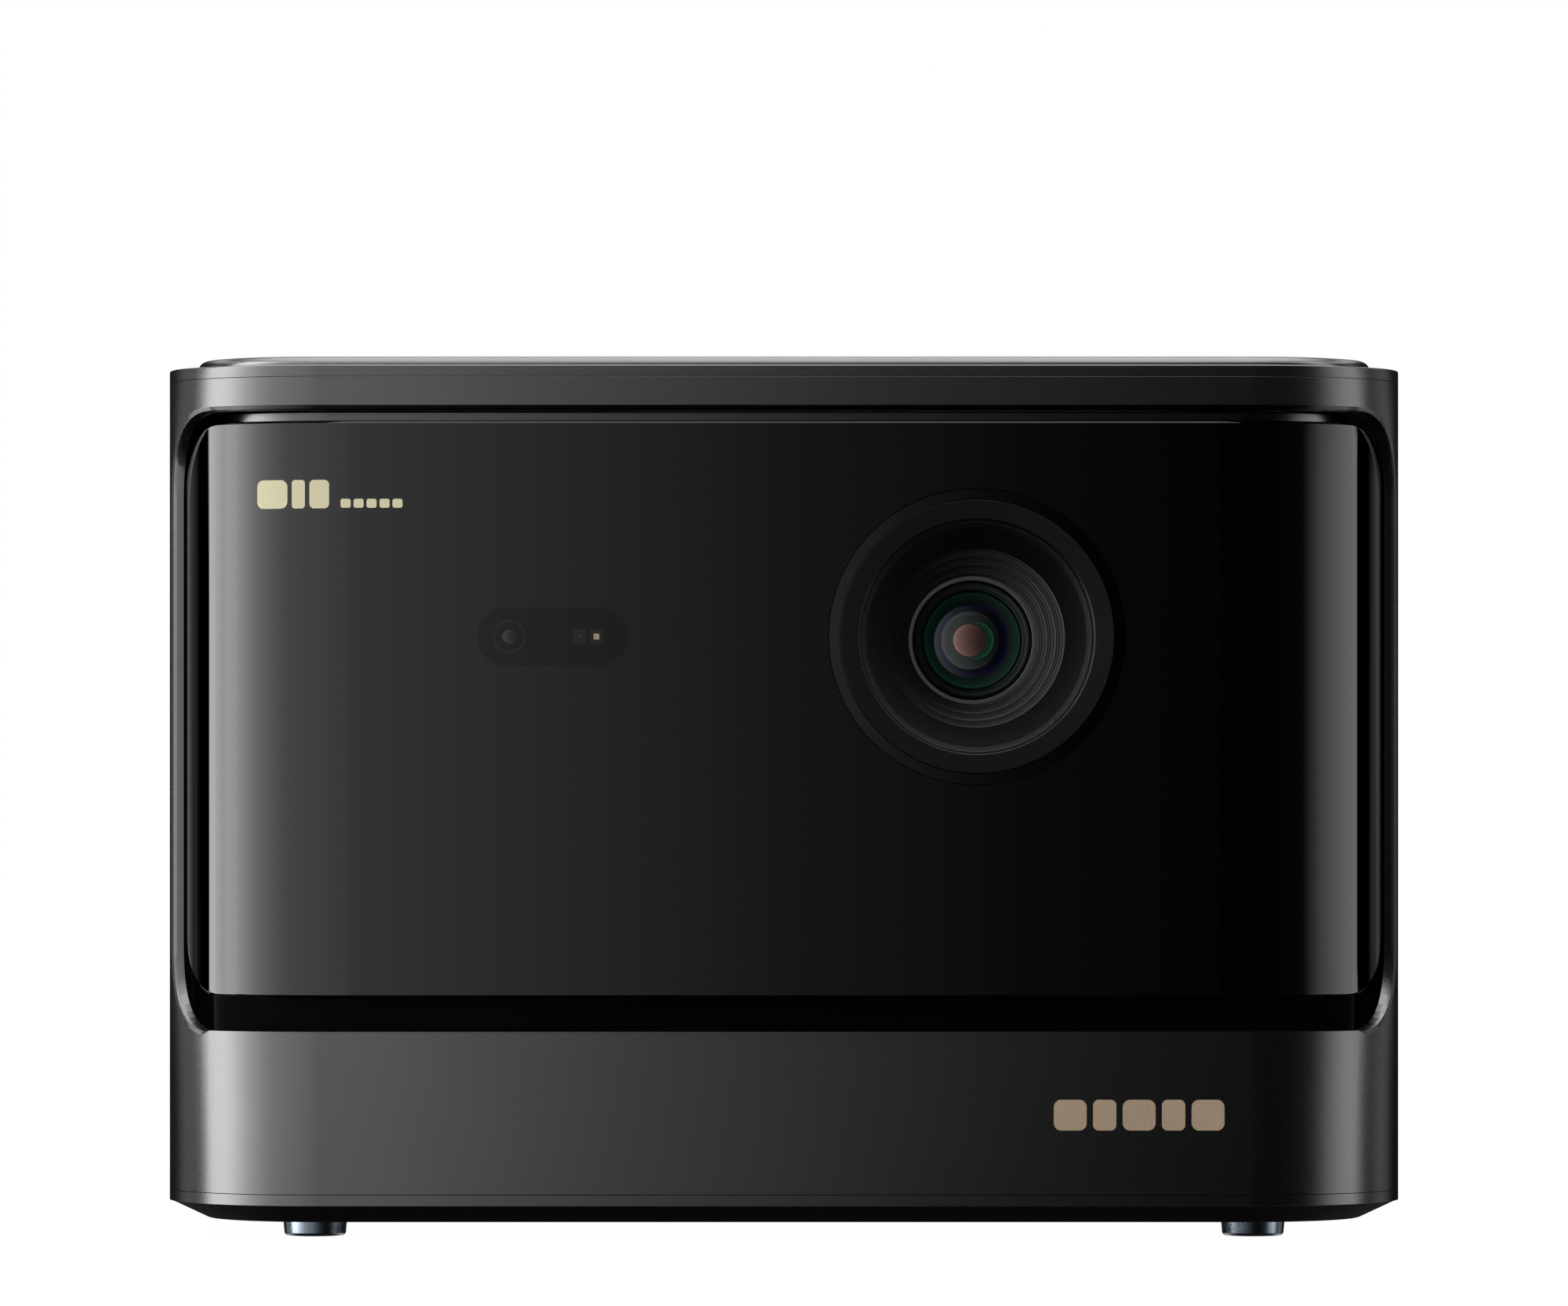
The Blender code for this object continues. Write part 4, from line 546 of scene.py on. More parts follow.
class Shape:
    """One piece while it is modelled with operators."""

    def __init__(self, name: str) -> None:
        """Take the newly added object, with its place put into its mesh."""
        self.object = bpy.context.object
        self.object.name = name
        self.object.data.name = name
        bpy.ops.object.transform_apply(location=True, rotation=True, scale=True)

    @classmethod
    def block(cls, name: str, low: Sequence[float], high: Sequence[float]) -> "Shape":
        """Block between two corners."""
        clear_selection()
        first, last = Vector(low), Vector(high)
        bpy.ops.mesh.primitive_cube_add(size=1.0, location=(first + last) / 2)
        bpy.context.object.scale = last - first
        return cls(name)

    @classmethod
    def turned(cls, name: str, axis: Axis, centre: Sequence[float], profile: Sequence[Pair],
               steps: int = 96, closed: bool = True) -> "Shape":
        """Turn an outline about an axis.

        Args:
            name: Name of the piece.
            axis: Axis that it is turned about.
            centre: Point on the axis where heights start.
            profile: (radius, height) points, all with a radius above zero.
            steps: Facets round the axis.
            closed: True for a ring, False for a body with a face at each end.

        Returns:
            The shape.
        """
        clear_selection()
        start = Vector(centre)
        radius, height = profile[0]
        bpy.ops.mesh.primitive_circle_add(vertices=steps, radius=radius, fill_type="NOTHING",
                                          location=start + axis.vector * height, rotation=axis.turn)
        shape = cls(name)
        grow = Vector((1.0, 1.0, 1.0)) - axis.vector
        with shape.editing():
            bpy.ops.mesh.select_all(action="SELECT")
            if not closed:
                bpy.ops.mesh.edge_face_add()
                bpy.ops.mesh.select_all(action="SELECT")
            stops = list(profile[1:]) + ([profile[0]] if closed else [])
            for wide, high in stops:
                bpy.ops.mesh.extrude_region_move(
                    TRANSFORM_OT_translate={"value": axis.vector * (high - height)})
                factor = wide / radius
                bpy.ops.transform.resize(value=axis.vector + grow * factor, center_override=start)
                if abs(factor - 1.0) > 1e-9:
                    shift = (start + axis.vector * high) - shape.selected_centre()
                    bpy.ops.transform.translate(value=shift)
                radius, height = wide, high
            bpy.ops.mesh.select_all(action="SELECT")
            bpy.ops.mesh.remove_doubles(threshold=1e-6)
            bpy.ops.mesh.normals_make_consistent(inside=False)
        return shape

    def selected_centre(self) -> Vector:
        """Middle of what is selected in edit mode."""
        chosen = [v.co for v in bmesh.from_edit_mesh(self.object.data).verts if v.select]
        return sum(chosen, Vector()) / len(chosen)

    @contextmanager
    def editing(self, element: Element = Element.VERT) -> Iterator[None]:
        """Edit mode on this shape with nothing selected."""
        clear_selection()
        self.object.select_set(True)
        bpy.context.view_layer.objects.active = self.object
        bpy.ops.object.mode_set(mode="EDIT")
        bpy.ops.mesh.select_mode(type=element.value)
        bpy.ops.mesh.select_all(action="DESELECT")
        yield
        bpy.ops.object.mode_set(mode="OBJECT")

    def choose(self, element: Element, test: Callable[..., bool]) -> int:
        """Select by a test, in edit mode.

        Args:
            element: Kind of element.
            test: Called with a face's centre and normal, with an edge's two ends, or with a vertex's place.

        Returns:
            How many were selected.
        """
        mesh = bmesh.from_edit_mesh(self.object.data)
        mesh.normal_update()
        if element is Element.FACE:
            chosen = [f for f in mesh.faces if test(f.calc_center_median(), f.normal)]
        elif element is Element.EDGE:
            chosen = [e for e in mesh.edges if test(e.verts[0].co, e.verts[1].co)]
        else:
            chosen = [v for v in mesh.verts if test(v.co)]
        for item in chosen:
            item.select_set(True)
        bmesh.update_edit_mesh(self.object.data)
        return len(chosen)

    def bevel(self, width: float, steps: int, test: Callable[[Vector, Vector], bool]) -> "Shape":
        """Round or chamfer the edges that pass a test.

        Args:
            width: How far the bevel reaches on each face.
            steps: Segments; 1 makes a chamfer.
            test: Called with the two ends of each edge.

        Returns:
            This shape.
        """
        with self.editing(Element.EDGE):
            if self.choose(Element.EDGE, test):
                bpy.ops.mesh.bevel(offset=width, segments=steps, profile=0.5, affect="EDGES")
        return self

    def round_corners(self, radius: float, steps: int, axis: Axis = Axis.Z) -> "Shape":
        """Round the edges that run along an axis."""
        return self.bevel(radius, steps, lambda a, b: (a - b).cross(axis.vector).length < 1e-6)

    def soften(self, width: float, steps: int = 3, angle: float = 40.0) -> "Shape":
        """Round every edge sharper than an angle with an applied Bevel modifier."""
        return self.modify("BEVEL", width=width, segments=steps, limit_method="ANGLE",
                           angle_limit=math.radians(angle), harden_normals=False)

    def modify(self, kind: str, **settings: object) -> "Shape":
        """Add a modifier and apply it."""
        clear_selection()
        self.object.select_set(True)
        bpy.context.view_layer.objects.active = self.object
        modifier = self.object.modifiers.new(kind.lower(), kind)
        for name, value in settings.items():
            setattr(modifier, name, value)
        bpy.ops.object.modifier_apply(modifier=modifier.name)
        return self

    def cut(self, *cutters: "Shape") -> "Shape":
        """Cut other shapes out of this one, and remove them."""
        for cutter in cutters:
            self.modify("BOOLEAN", operation="DIFFERENCE", solver="EXACT", object=cutter.object)
            bpy.data.objects.remove(cutter.object)
        return self

    def join(self, *others: "Shape") -> "Shape":
        """Take other shapes into this one's mesh."""
        clear_selection()
        for shape in (self, *others):
            shape.object.select_set(True)
        bpy.context.view_layer.objects.active = self.object
        bpy.ops.object.join()
        return self

    def copy(self, name: str, shift: Sequence[float]) -> "Shape":
        """Copy with its own mesh, moved by shift."""
        clear_selection()
        self.object.select_set(True)
        bpy.context.view_layer.objects.active = self.object
        bpy.ops.object.duplicate()
        twin = Shape(name)
        with twin.editing():
            bpy.ops.mesh.select_all(action="SELECT")
            bpy.ops.transform.translate(value=shift)
        return twin

    def divide(self, places: Sequence[float]) -> "Shape":
        """Divide the mesh by planes across X."""
        with self.editing():
            for place in places:
                bpy.ops.mesh.select_all(action="SELECT")
                bpy.ops.mesh.bisect(plane_co=(place, 0.0, 0.0), plane_no=(1.0, 0.0, 0.0))
        return self

    def bend(self, plan: Plan) -> "Shape":
        """Bend a flat sheet round the plan outline and close its seam."""
        curve = plan.curve()
        self.modify("CURVE", object=curve, deform_axis="POS_X")
        bpy.data.objects.remove(curve)
        with self.editing():
            bpy.ops.mesh.select_all(action="SELECT")
            bpy.ops.mesh.remove_doubles(threshold=2e-6)
        return self

    def delete_faces(self, test: Callable[[Vector, Vector], bool]) -> "Shape":
        """Delete the faces that pass a test."""
        with self.editing(Element.FACE):
            if self.choose(Element.FACE, test):
                bpy.ops.mesh.delete(type="FACE")
        return self

    def finish(self, finish: Finish, body: str = CHASSIS, replaces: Sequence[str] = (),
               smooth: float = 35.0, even: bool = True) -> bpy.types.Object:
        """Close the modelling: normals, shading, material and body.

        Args:
            finish: Surface finish.
            body: CAD body that the piece rides on.
            replaces: CAD nodes that it stands for.
            smooth: Angle in degrees below which edges are shaded smooth.
            even: Whether large faces keep their own normals.

        Returns:
            The finished object.
        """
        with self.editing():
            bpy.ops.mesh.select_all(action="SELECT")
            bpy.ops.mesh.normals_make_consistent(inside=False)
        clear_selection()
        self.object.select_set(True)
        bpy.context.view_layer.objects.active = self.object
        bpy.ops.object.shade_smooth_by_angle(angle=math.radians(smooth))
        if even:
            self.modify("WEIGHTED_NORMAL", keep_sharp=True, weight=60)
        self.object.data.materials.clear()
        self.object.data.materials.append(finish.material())
        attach(self.object, body)
        if replaces:
            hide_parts(*replaces)
        LOG.info("%s: %d faces on %s", self.object.name, len(self.object.data.polygons), body)
        return self.object


def node_box(name: str) -> tuple[Vector, Vector]:
    """Box of a CAD node."""
    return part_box(name)


@dataclass
class Housing:
    """Outer shell with its front recess, side and rear openings, top cover, rim and base."""

    wall: float = 2.1 * MM
    lip: float = 1.0 * MM
    recess_corner: float = 16.0 * MM
    recess_turn: float = 75.2
    recess_low: float = 39.8 * MM
    recess_high: float = 157.15 * MM
    recess_draft: float = 0.9958
    seam_reach: float = 0.1 * MM
    grille_corner: float = 8.0 * MM
    panel_corner: float = 8.0 * MM
    seam_edge: float = 0.03 * MM
    cover_edge: float = 0.3 * MM
    plate_edge: float = 1.75 * MM
    corner_steps: int = 30
    plan: Plan = field(init=False)

    def __post_init__(self) -> None:
        """Take the plan outline from the CAD shell."""
        self.low, self.high = node_box("main_shell")
        self.plan = Plan(self.high.x, self.high.y, 30.0 * MM, self.corner_steps)

    def opening(self, name: str, start: float, end: float, low: float, high: float, radius: float) -> Shape:
        """Cutter for an opening in the flat sheet.

        Args:
            name: Name of the cutter.
            start: First end along the outline, from the front's middle.
            end: Second end along the outline.
            low: Lower edge.
            high: Upper edge.
            radius: Corner radius.

        Returns:
            The cutter.
        """
        middle = self.plan.length / 2
        reach = 3 * self.wall
        cutter = Shape.block(name, (middle + start, -reach, low), (middle + end, reach, high))
        return cutter.round_corners(radius, 12, Axis.Y)

    def build_wall(self) -> None:
        """Wall: a flat sheet with its openings, bent round the plan outline."""
        plan, middle = self.plan, self.plan.length / 2
        low, high = self.low.z - self.seam_reach, self.high.z + self.seam_reach
        sheet = Shape.block("housing_wall", (0.0, 0.0, low), (plan.length, self.wall, high))
        edge = plan.corner(self.recess_turn)
        recess = self.opening("recess", -edge, edge, self.recess_low, self.recess_high, self.recess_corner)
        side_low, side_high = node_box("side_grille_right")
        gap = 0.3 * MM
        start, end = plan.side(side_low.y - gap), plan.side(side_high.y + gap)
        sides = [self.opening("side", sign * min(sign * start, sign * end),
                              sign * max(sign * start, sign * end),
                              side_low.z - gap, side_high.z + gap, self.grille_corner) for sign in (1,)]
        sides.append(self.opening("side", -end, -start, side_low.z - gap, side_high.z + gap,
                                  self.grille_corner))
        panel_low, _ = node_box("rear_panel")
        grille_low, grille_high = node_box("rear_grille")
        half = grille_high.x + gap
        rears = [self.opening("rear", plan.rear(half), plan.rear(half) + 2 * half,
                              panel_low.z - gap, grille_high.z + gap, self.panel_corner),
                 self.opening("rear", -plan.rear(half) - 2 * half, -plan.rear(half),
                              panel_low.z - gap, grille_high.z + gap, self.panel_corner)]
        sheet.cut(recess, *sides, *rears)

        def in_recess(point: Vector) -> bool:
            """Whether a point is on the edge of the front recess."""
            return (abs(point.x - middle) < edge + 1e-5
                    and self.recess_low - 1e-5 < point.z < self.recess_high + 1e-5)

        def on_recess(a: Vector, b: Vector) -> bool:
            """Outer edge of the front recess, apart from its straight lower side."""
            outer = all(abs(p.y) < 1e-6 and in_recess(p) for p in (a, b))
            return outer and max(a.z, b.z) > self.recess_low + 1e-5

        def on_rim(a: Vector, b: Vector) -> bool:
            """Outer edges of the other openings and of the two seams."""
            flat = all(abs(p.y) < 1e-6 for p in (a, b)) and not all(in_recess(p) for p in (a, b))
            ends = all(p.x < 1e-5 for p in (a, b)) or all(p.x > plan.length - 1e-5 for p in (a, b))
            return flat and not ends

        with sheet.editing():
            sheet.choose(Element.VERT, lambda point: abs(point.y - self.wall) < 1e-6 and in_recess(point))
            bpy.ops.transform.resize(value=(self.recess_draft, 1.0, 1.0), center_override=(middle, 0.0, 0.0))
        sheet.bevel(self.lip, 2, on_recess)
        sheet.bevel(self.seam_edge, 2, on_rim)
        sheet.divide([middle + sign * place for sign in (-1, 1) for place in plan.cuts()])
        sheet.delete_faces(lambda centre, normal: abs(normal.x) > 0.99
                           and (centre.x < 1e-5 or centre.x > plan.length - 1e-5))
        with sheet.editing(Element.FACE):
            sheet.choose(Element.FACE, lambda centre, normal: -0.99 < normal.y < -0.1
                         and abs(centre.x - middle) < edge - self.recess_corner
                         and self.recess_high - self.lip < centre.z < self.recess_high + self.lip)
        lip_faces = [face.index for face in sheet.object.data.polygons if face.select]
        sheet.bend(plan).finish(PAINT, replaces=["main_shell"])
        # The recess's upper chamfer takes the darker copy of the paint: painted shade.
        sheet.object.data.materials.append(LIP_SHADE_PAINT.material())
        for index in lip_faces:
            sheet.object.data.polygons[index].material_index = 1

    def slab(self, name: str, low: Sequence[float], high: Sequence[float], inset: float) -> Shape:
        """Block with the housing's rounded plan, moved inwards by inset."""
        block = Shape.block(name, low, high)
        return block.round_corners(self.plan.radius - inset, self.corner_steps)

    def build_top(self) -> None:
        """Top cover and the plate let into it."""
        low, high = node_box("top_cover")
        low.z -= self.seam_reach
        cover = self.slab("top_cover_panel", low, high, 0.0)
        cover.bevel(self.cover_edge, 3, lambda a, b: min(a.z, b.z) > high.z - 1e-6)
        cover.bevel(self.seam_edge, 2, lambda a, b: max(a.z, b.z) < low.z + 1e-6)
        cover.finish(PAINT, replaces=["top_cover"])
        low, high = node_box("top_plate")
        plate = self.slab("top_plate_panel", low, high, self.high.x - high.x)
        plate.bevel(self.plate_edge, 8, lambda a, b: min(a.z, b.z) > high.z - 1e-6)
        plate.finish(COVER_PAINT, replaces=["top_plate"])

    def build_base(self) -> None:
        """Lower rim, and the base with its tapered edge and air slots."""
        low, high = node_box("bottom_rim")
        high.z += self.seam_reach
        rim = self.slab("lower_rim", low, high, 0.0)
        rim.bevel(self.seam_edge, 2, lambda a, b: abs(a.z - b.z) < 1e-6)
        rim.finish(PAINT, replaces=["bottom_rim"])
        tray_low, tray_high = node_box("base_tray")
        floor = low.z
        base = self.slab("base_plate", (tray_low.x, tray_low.y, floor),
                         (tray_high.x, tray_high.y, high.z - 0.1 * MM),
                         0.3 * MM)
        with base.editing(Element.FACE):
            base.choose(Element.FACE, lambda centre, normal: normal.z < -0.9)
            bpy.ops.mesh.inset(thickness=7.2 * MM, depth=floor - tray_low.z)
        base.bevel(0.3 * MM, 3, lambda a, b: max(a.z, b.z) < tray_low.z + 1e-6)
        slots = []
        for side in (-1, 1):
            for step in range(9):
                x = side * 42.0 * MM + (step - 4) * 5.0 * MM
                slot = Shape.block("slot", (x - 1.1 * MM, -17.0 * MM, tray_low.z - 1.0 * MM),
                                   (x + 1.1 * MM, 17.0 * MM, tray_low.z + 3.0 * MM))
                slots.append(slot.round_corners(1.05 * MM, 5))
        first = slots[0].join(*slots[1:])
        well = Shape.turned("well", Axis.Z, (0.0, 0.0, tray_low.z),
                            ((7.3 * MM, -1.0 * MM), (7.3 * MM, 3.6 * MM)),
                            64, closed=False)
        base.cut(first, well)
        # Base finish: black plastic darkened as painted shade.
        base.finish(BASE_BLACK_AND_SHADE, replaces=["base_tray"])

    def build_ledge(self) -> None:
        """Floor of the front recess, level with the top of the lower band."""
        inset = 1.2 * MM
        ledge = self.slab("recess_floor",
                          (self.low.x + inset, self.low.y + inset, self.recess_low - 1.5 * MM),
                          (self.high.x - inset, self.high.y - inset, self.recess_low - 0.05 * MM), inset)
        with ledge.editing():
            bpy.ops.mesh.select_all(action="SELECT")
            bpy.ops.mesh.bisect(plane_co=(0.0, -74.0 * MM, 0.0), plane_no=(0.0, 1.0, 0.0), clear_outer=True,
                                use_fill=True)
        # Finished near-black as painted shade in the recess.
        ledge.finish(RECESS_SHADE_BLACK)

    def build(self) -> None:
        """Build the whole housing."""
        self.build_wall()
        self.build_top()
        self.build_base()
        self.build_ledge()


@dataclass
class FrontGlass:
    """Curved front glass and the bezel that carries it."""

    plan: Plan = field(default_factory=lambda: Plan(118.9 * MM, 97.95 * MM, 36.9 * MM))
    thickness: float = 1.6 * MM
    corner: float = 11.5 * MM
    edge: float = 0.45 * MM
    edge_drop: float = 0.16 * MM
    turn: float = 61.4
    hole: float = 28.15 * MM

    def build_glass(self, lens: Vector) -> None:
        """Glass: a flat plate with round corners and the lens hole, bent round its own plan outline.

        Args:
            lens: Centre of the lens.
        """
        low, high = node_box("front_glass")
        middle, reach = self.plan.length / 2, self.plan.corner(self.turn)
        plate = Shape.block("glass_panel", (middle - reach, self.edge_drop, low.z),
                            (middle + reach, self.thickness, high.z))
        plate.round_corners(self.corner, 16, Axis.Y)
        with plate.editing(Element.FACE):
            plate.choose(Element.FACE, lambda centre, normal: normal.y < -0.9)
            bpy.ops.mesh.inset(thickness=self.edge, depth=self.edge_drop)
        hole = Shape.turned("hole", Axis.Y, (middle + lens.x, 0.0, lens.z),
                            ((self.hole, -3 * MM), (self.hole, 6 * MM)), 128, closed=False)
        plate.cut(hole)
        plate.divide([middle + sign * place for sign in (-1, 1)
                      for place in self.plan.cuts()[:self.plan.columns + 1]])
        plate.bend(self.plan).finish(GLOSS_GLASS, replaces=["front_glass"], smooth=12.0)

    def build_bezel(self, lens: Vector) -> None:
        """Bezel: a rounded frame whose top edge shows above the glass, with a chin below that is made dark
        as painted shade.
        """
        low, high = node_box("front_bezel")
        glass_low, _ = node_box("front_glass")
        chin = glass_low.z + 0.5 * MM
        radius = 22.0 * MM
        frame = Shape.block("bezel_frame", (low.x, low.y, chin), (high.x, -62.65 * MM, high.z))
        frame.bevel(radius, 28, lambda a, b: abs(a.z - b.z) > 1 * MM and max(a.y, b.y) < low.y + 1e-6)
        frame.bevel(0.25 * MM, 3, lambda a, b: min(a.z, b.z) > high.z - 1e-6)
        core = Shape.block("core", (low.x + 3 * MM, low.y + 3 * MM, chin - 1 * MM),
                           (high.x - 3 * MM, -50 * MM, high.z - 3 * MM))
        core.bevel(radius - 3 * MM, 20, lambda a,
                   b: abs(a.z - b.z) > 1 * MM and max(a.y, b.y) < low.y + 3.1 * MM)
        hole = Shape.turned("hole", Axis.Y, (lens.x, low.y, lens.z),
                            ((28.3 * MM, -3 * MM), (28.3 * MM, 9 * MM)),
                            96, closed=False)
        frame.cut(core, hole)
        frame.finish(GLOSS_PLASTIC, replaces=["front_bezel"])
        chin_low = 39.2 * MM
        lip = Shape.block("bezel_chin", (low.x, low.y + 1.0 * MM, chin_low),
                          (high.x, low.y + 4.0 * MM, chin - 0.1 * MM))
        lip.bevel(radius - 1 * MM, 28, lambda a,
                  b: abs(a.z - b.z) > 1 * MM and max(a.y, b.y) < low.y + 1.1 * MM)
        # The chin takes the near-black finish: painted shade under the glass.
        lip.finish(RECESS_SHADE_BLACK)

    def build(self, lens: Vector) -> None:
        """Build the glass and its bezel."""
        self.build_glass(lens)
        self.build_bezel(lens)


@dataclass
class Lens:
    """Lens group as seen from the front: trim rings, stepped hood, retaining ring and coated glass."""

    centre: Vector
    front: float
    baffles: int = 10
    baffle_slopes: Triple = (0.34, 0.16, 0.24)
    baffle_groove: float = 0.05
    steps: int = 160

    def ring(self, name: str, outline: Sequence[tuple[float, float, float]]) -> Shape:
        """Turned ring.

        Args:
            name: Name of the piece.
            outline: (radius, depth behind the glass front, corner radius), all in millimetres.

        Returns:
            The shape.
        """
        points = fillet([(r * MM, d * MM, c * MM) for r, d, c in outline])
        return Shape.turned(name, Axis.Y, (self.centre.x, self.front, self.centre.z), points, self.steps)

    def build_trim(self) -> None:
        """Gloss dished outer ring and satin inner ring, in the mouth of the glass."""
        self.ring("lens_dish_ring",
                  ((27.98, 0.42, 0.0), (27.98, 4.9, 0), (26.0, 4.9, 0), (26.0, 0.24, 0.0)))\
            .finish(TRIM_GLOSS)
        turned_black = Turned("lens_ring_turned", "satin_black", (grey(0.024), grey(0.030)), (0.26, 0.34),
                              0.9,
                              relief=0.5, centre=(self.centre.x, 0.0, self.centre.z))
        self.ring("lens_satin_ring",
                  ((25.85, 0.05, 0.06), (25.95, 4.9, 0), (22.0, 4.9, 0), (22.0, 0.75, 0.1),
                                      (22.35, 0.32, 0.1))).finish(turned_black, replaces=["lens_trim_ring"])

    def build_hood(self) -> None:
        """Hood: a bright front edge, a plain cone and a run of fine baffle steps."""
        self.ring("lens_hood_cone", ((31.0, 5.6, 0.0), (31.0, 7.6, 0.0), (24.1, 7.6, 0.0), (19.4, 15.6, 0.0),
                                     (17.1, 15.6, 0.0), (17.1, 15.2, 0.0), (20.9, 6.6, 0.35),
                                     (21.7, 5.6, 0.2)))\
            .finish(HOOD_BLACK, replaces=["lens_hood"], smooth=24.0)
        outline = [(18.9, 15.8, 0.0), (14.5, 40.0, 0.0), (12.4, 40.0, 0.0)]
        first, last, start, end = 12.4, 17.2, 39.5, 15.8
        for step in range(self.baffles):
            radius = first + (last - first) * step / self.baffles
            wider = first + (last - first) * (step + 1) / self.baffles
            depth = start + (end - start) * step / self.baffles
            nearer = start + (end - start) * (step + 1) / self.baffles
            slope = self.baffle_slopes[step % len(self.baffle_slopes)]
            groove = self.baffle_groove
            outline += [(radius, depth, 0.0), (radius + groove, depth, 0.0),
                        (radius + groove, depth + 0.4, 0.0),
                        (radius + 2 * groove, depth + 0.4, 0.0), (radius + 2 * groove, depth, 0.0),
                        (wider, depth - (wider - radius - 2 * groove) * slope, 0.0)]
            if step == self.baffles - 1:
                outline.append((wider, nearer, 0.0))
        self.ring("lens_baffle_tube", outline).finish(BAFFLE, smooth=10.0)

    def build_optics(self) -> None:
        """Retaining ring, element edge ring and the coated element surfaces, whose colours are painted
        reflections.
        """
        self.ring("retainer_ring", ((14.2, 40.35, 0.2), (14.2, 42.4, 0), (11.2, 42.4, 0), (11.2, 41.0, 0.2),
                                    (11.6, 40.35, 0.2))).finish(PALE_RING, replaces=["retaining_ring"])
        seat = Finish("element_seat_grey", "satin_black", ((0.050, 0.066, 0.062), (0.060, 0.080, 0.074)),
                      (0.34, 0.42), 0.9, grain=3000.0, relief=0.0)
        self.ring("element_seat",
                  ((11.15, 41.2, 0), (11.15, 42.3, 0), (10.1, 42.3, 0), (10.1, 41.62, 0), (10.4, 41.58, 0),
                                   (10.4, 41.7, 0), (10.46, 41.7, 0), (10.46, 41.5, 0), (10.8, 41.42, 0),
                                   (10.8, 41.6, 0), (10.86, 41.6, 0), (10.86, 41.35, 0))).finish(seat)
        self.ring("element_edge_ring",
                  ((10.1, 41.35, 0.12), (10.1, 42.2, 0), (9.55, 42.2, 0), (9.55, 41.55, 0.12)))\
            .finish(SATIN_BLACK)
        centre = (self.centre.x, 0.0, self.centre.z)
        # Front element: its ring colours, with a bright ring near the rim, are painted reflections of the
        # coated glass; shade paints it darker and greener on the left.
        teal = Zones("front_element_coating", "lens_glass", (grey(0.1), grey(0.1)), (0.02, 0.04), 0.35,
                     grain=900.0, relief=0.0, coat=0.5, centre=centre, radius=9.6 * MM,
                     rings=((0.0, (0.012, 0.010, 0.040)), (0.62, (0.010, 0.008, 0.040)),
                            (0.70, (0.020, 0.016, 0.110)),
                            (0.78, (0.030, 0.070, 0.060)), (0.90, (0.045, 0.120, 0.100)),
                            (0.955, (0.070, 0.230, 0.190)),
                            (0.985, (0.004, 0.012, 0.016)), (1.0, (0.002, 0.004, 0.006))),
                     shade=((0.45, 0.75, 0.62), (1.0, 1.0, 1.0)))
        dome = [(9.5 * MM, 44.6 * MM)] + [
            (radius * MM, (41.9 + 1.1 * (radius / 9.5) ** 2) * MM) for radius in (9.5, 8.6, 7.6, 6.4, 5.0,
                                                                                  3.4, 1.6, 0.3)]
        place = (self.centre.x, self.front, self.centre.z)
        Shape.turned("front_lens_element", Axis.Y, place, dome, 128, closed=False)\
            .finish(teal, replaces=["front_element"], smooth=40.0)
        # Inner surfaces: ring colours are painted reflections, and shade paints light on one side and shade
        # on the other.
        for name, shift, radius, rise, rings, shade in (
                ("second_lens_surface", -0.45, 5.75, 41.62,
                 ((0.0, (0.15, 0.20, 0.17)), (0.8, (0.17, 0.22, 0.20)), (0.95, (0.26, 0.32, 0.31)),
                  (1.0, (0.02, 0.03, 0.05))),
                 ((1.25, 1.2, 1.2), (0.06, 0.10, 0.12))),
                ("third_lens_surface", 0.55, 3.75, 41.42,
                 ((0.0, (0.03, 0.16, 0.07)), (0.82, (0.03, 0.17, 0.07)), (0.95, (0.10, 0.34, 0.20)),
                  (1.0, (0.01, 0.05, 0.03))),
                 ((0.6, 0.5, 0.4), (1.0, 1.15, 1.2))),
                ("pupil_surface", -0.55, 3.25, 41.25,
                 ((0.0, (0.52, 0.28, 0.30)), (0.7, (0.62, 0.33, 0.31)), (0.93, (0.78, 0.46, 0.40)),
                  (1.0, (0.20, 0.08, 0.04))),
                 ((1.35, 1.35, 1.25), (0.28, 0.22, 0.24)))):
            reflection_paint = Zones(name + "_coating", "lens_glass", (grey(0.1), grey(0.1)), (0.03, 0.06), 0.3,
                            grain=900.0, relief=0.0, coat=0.4,
                            centre=(centre[0] + shift * MM, 0.0, centre[2]),
                            radius=radius * MM, rings=rings, shade=shade)
            cap = [(radius * MM, (rise + 0.55) * MM)] + [
                (part * radius * MM, (rise + 0.18 * part ** 2) * MM) for part in (1.0, 0.9, 0.75, 0.55, 0.3,
                                                                                  0.05)]
            Shape.turned(name, Axis.Y, (place[0] + shift * MM, place[1], place[2]), cap, 96, closed=False)\
                .finish(reflection_paint, smooth=40.0)

    def build(self) -> None:
        """Build the lens group."""
        self.build_trim()
        self.build_hood()
        self.build_optics()


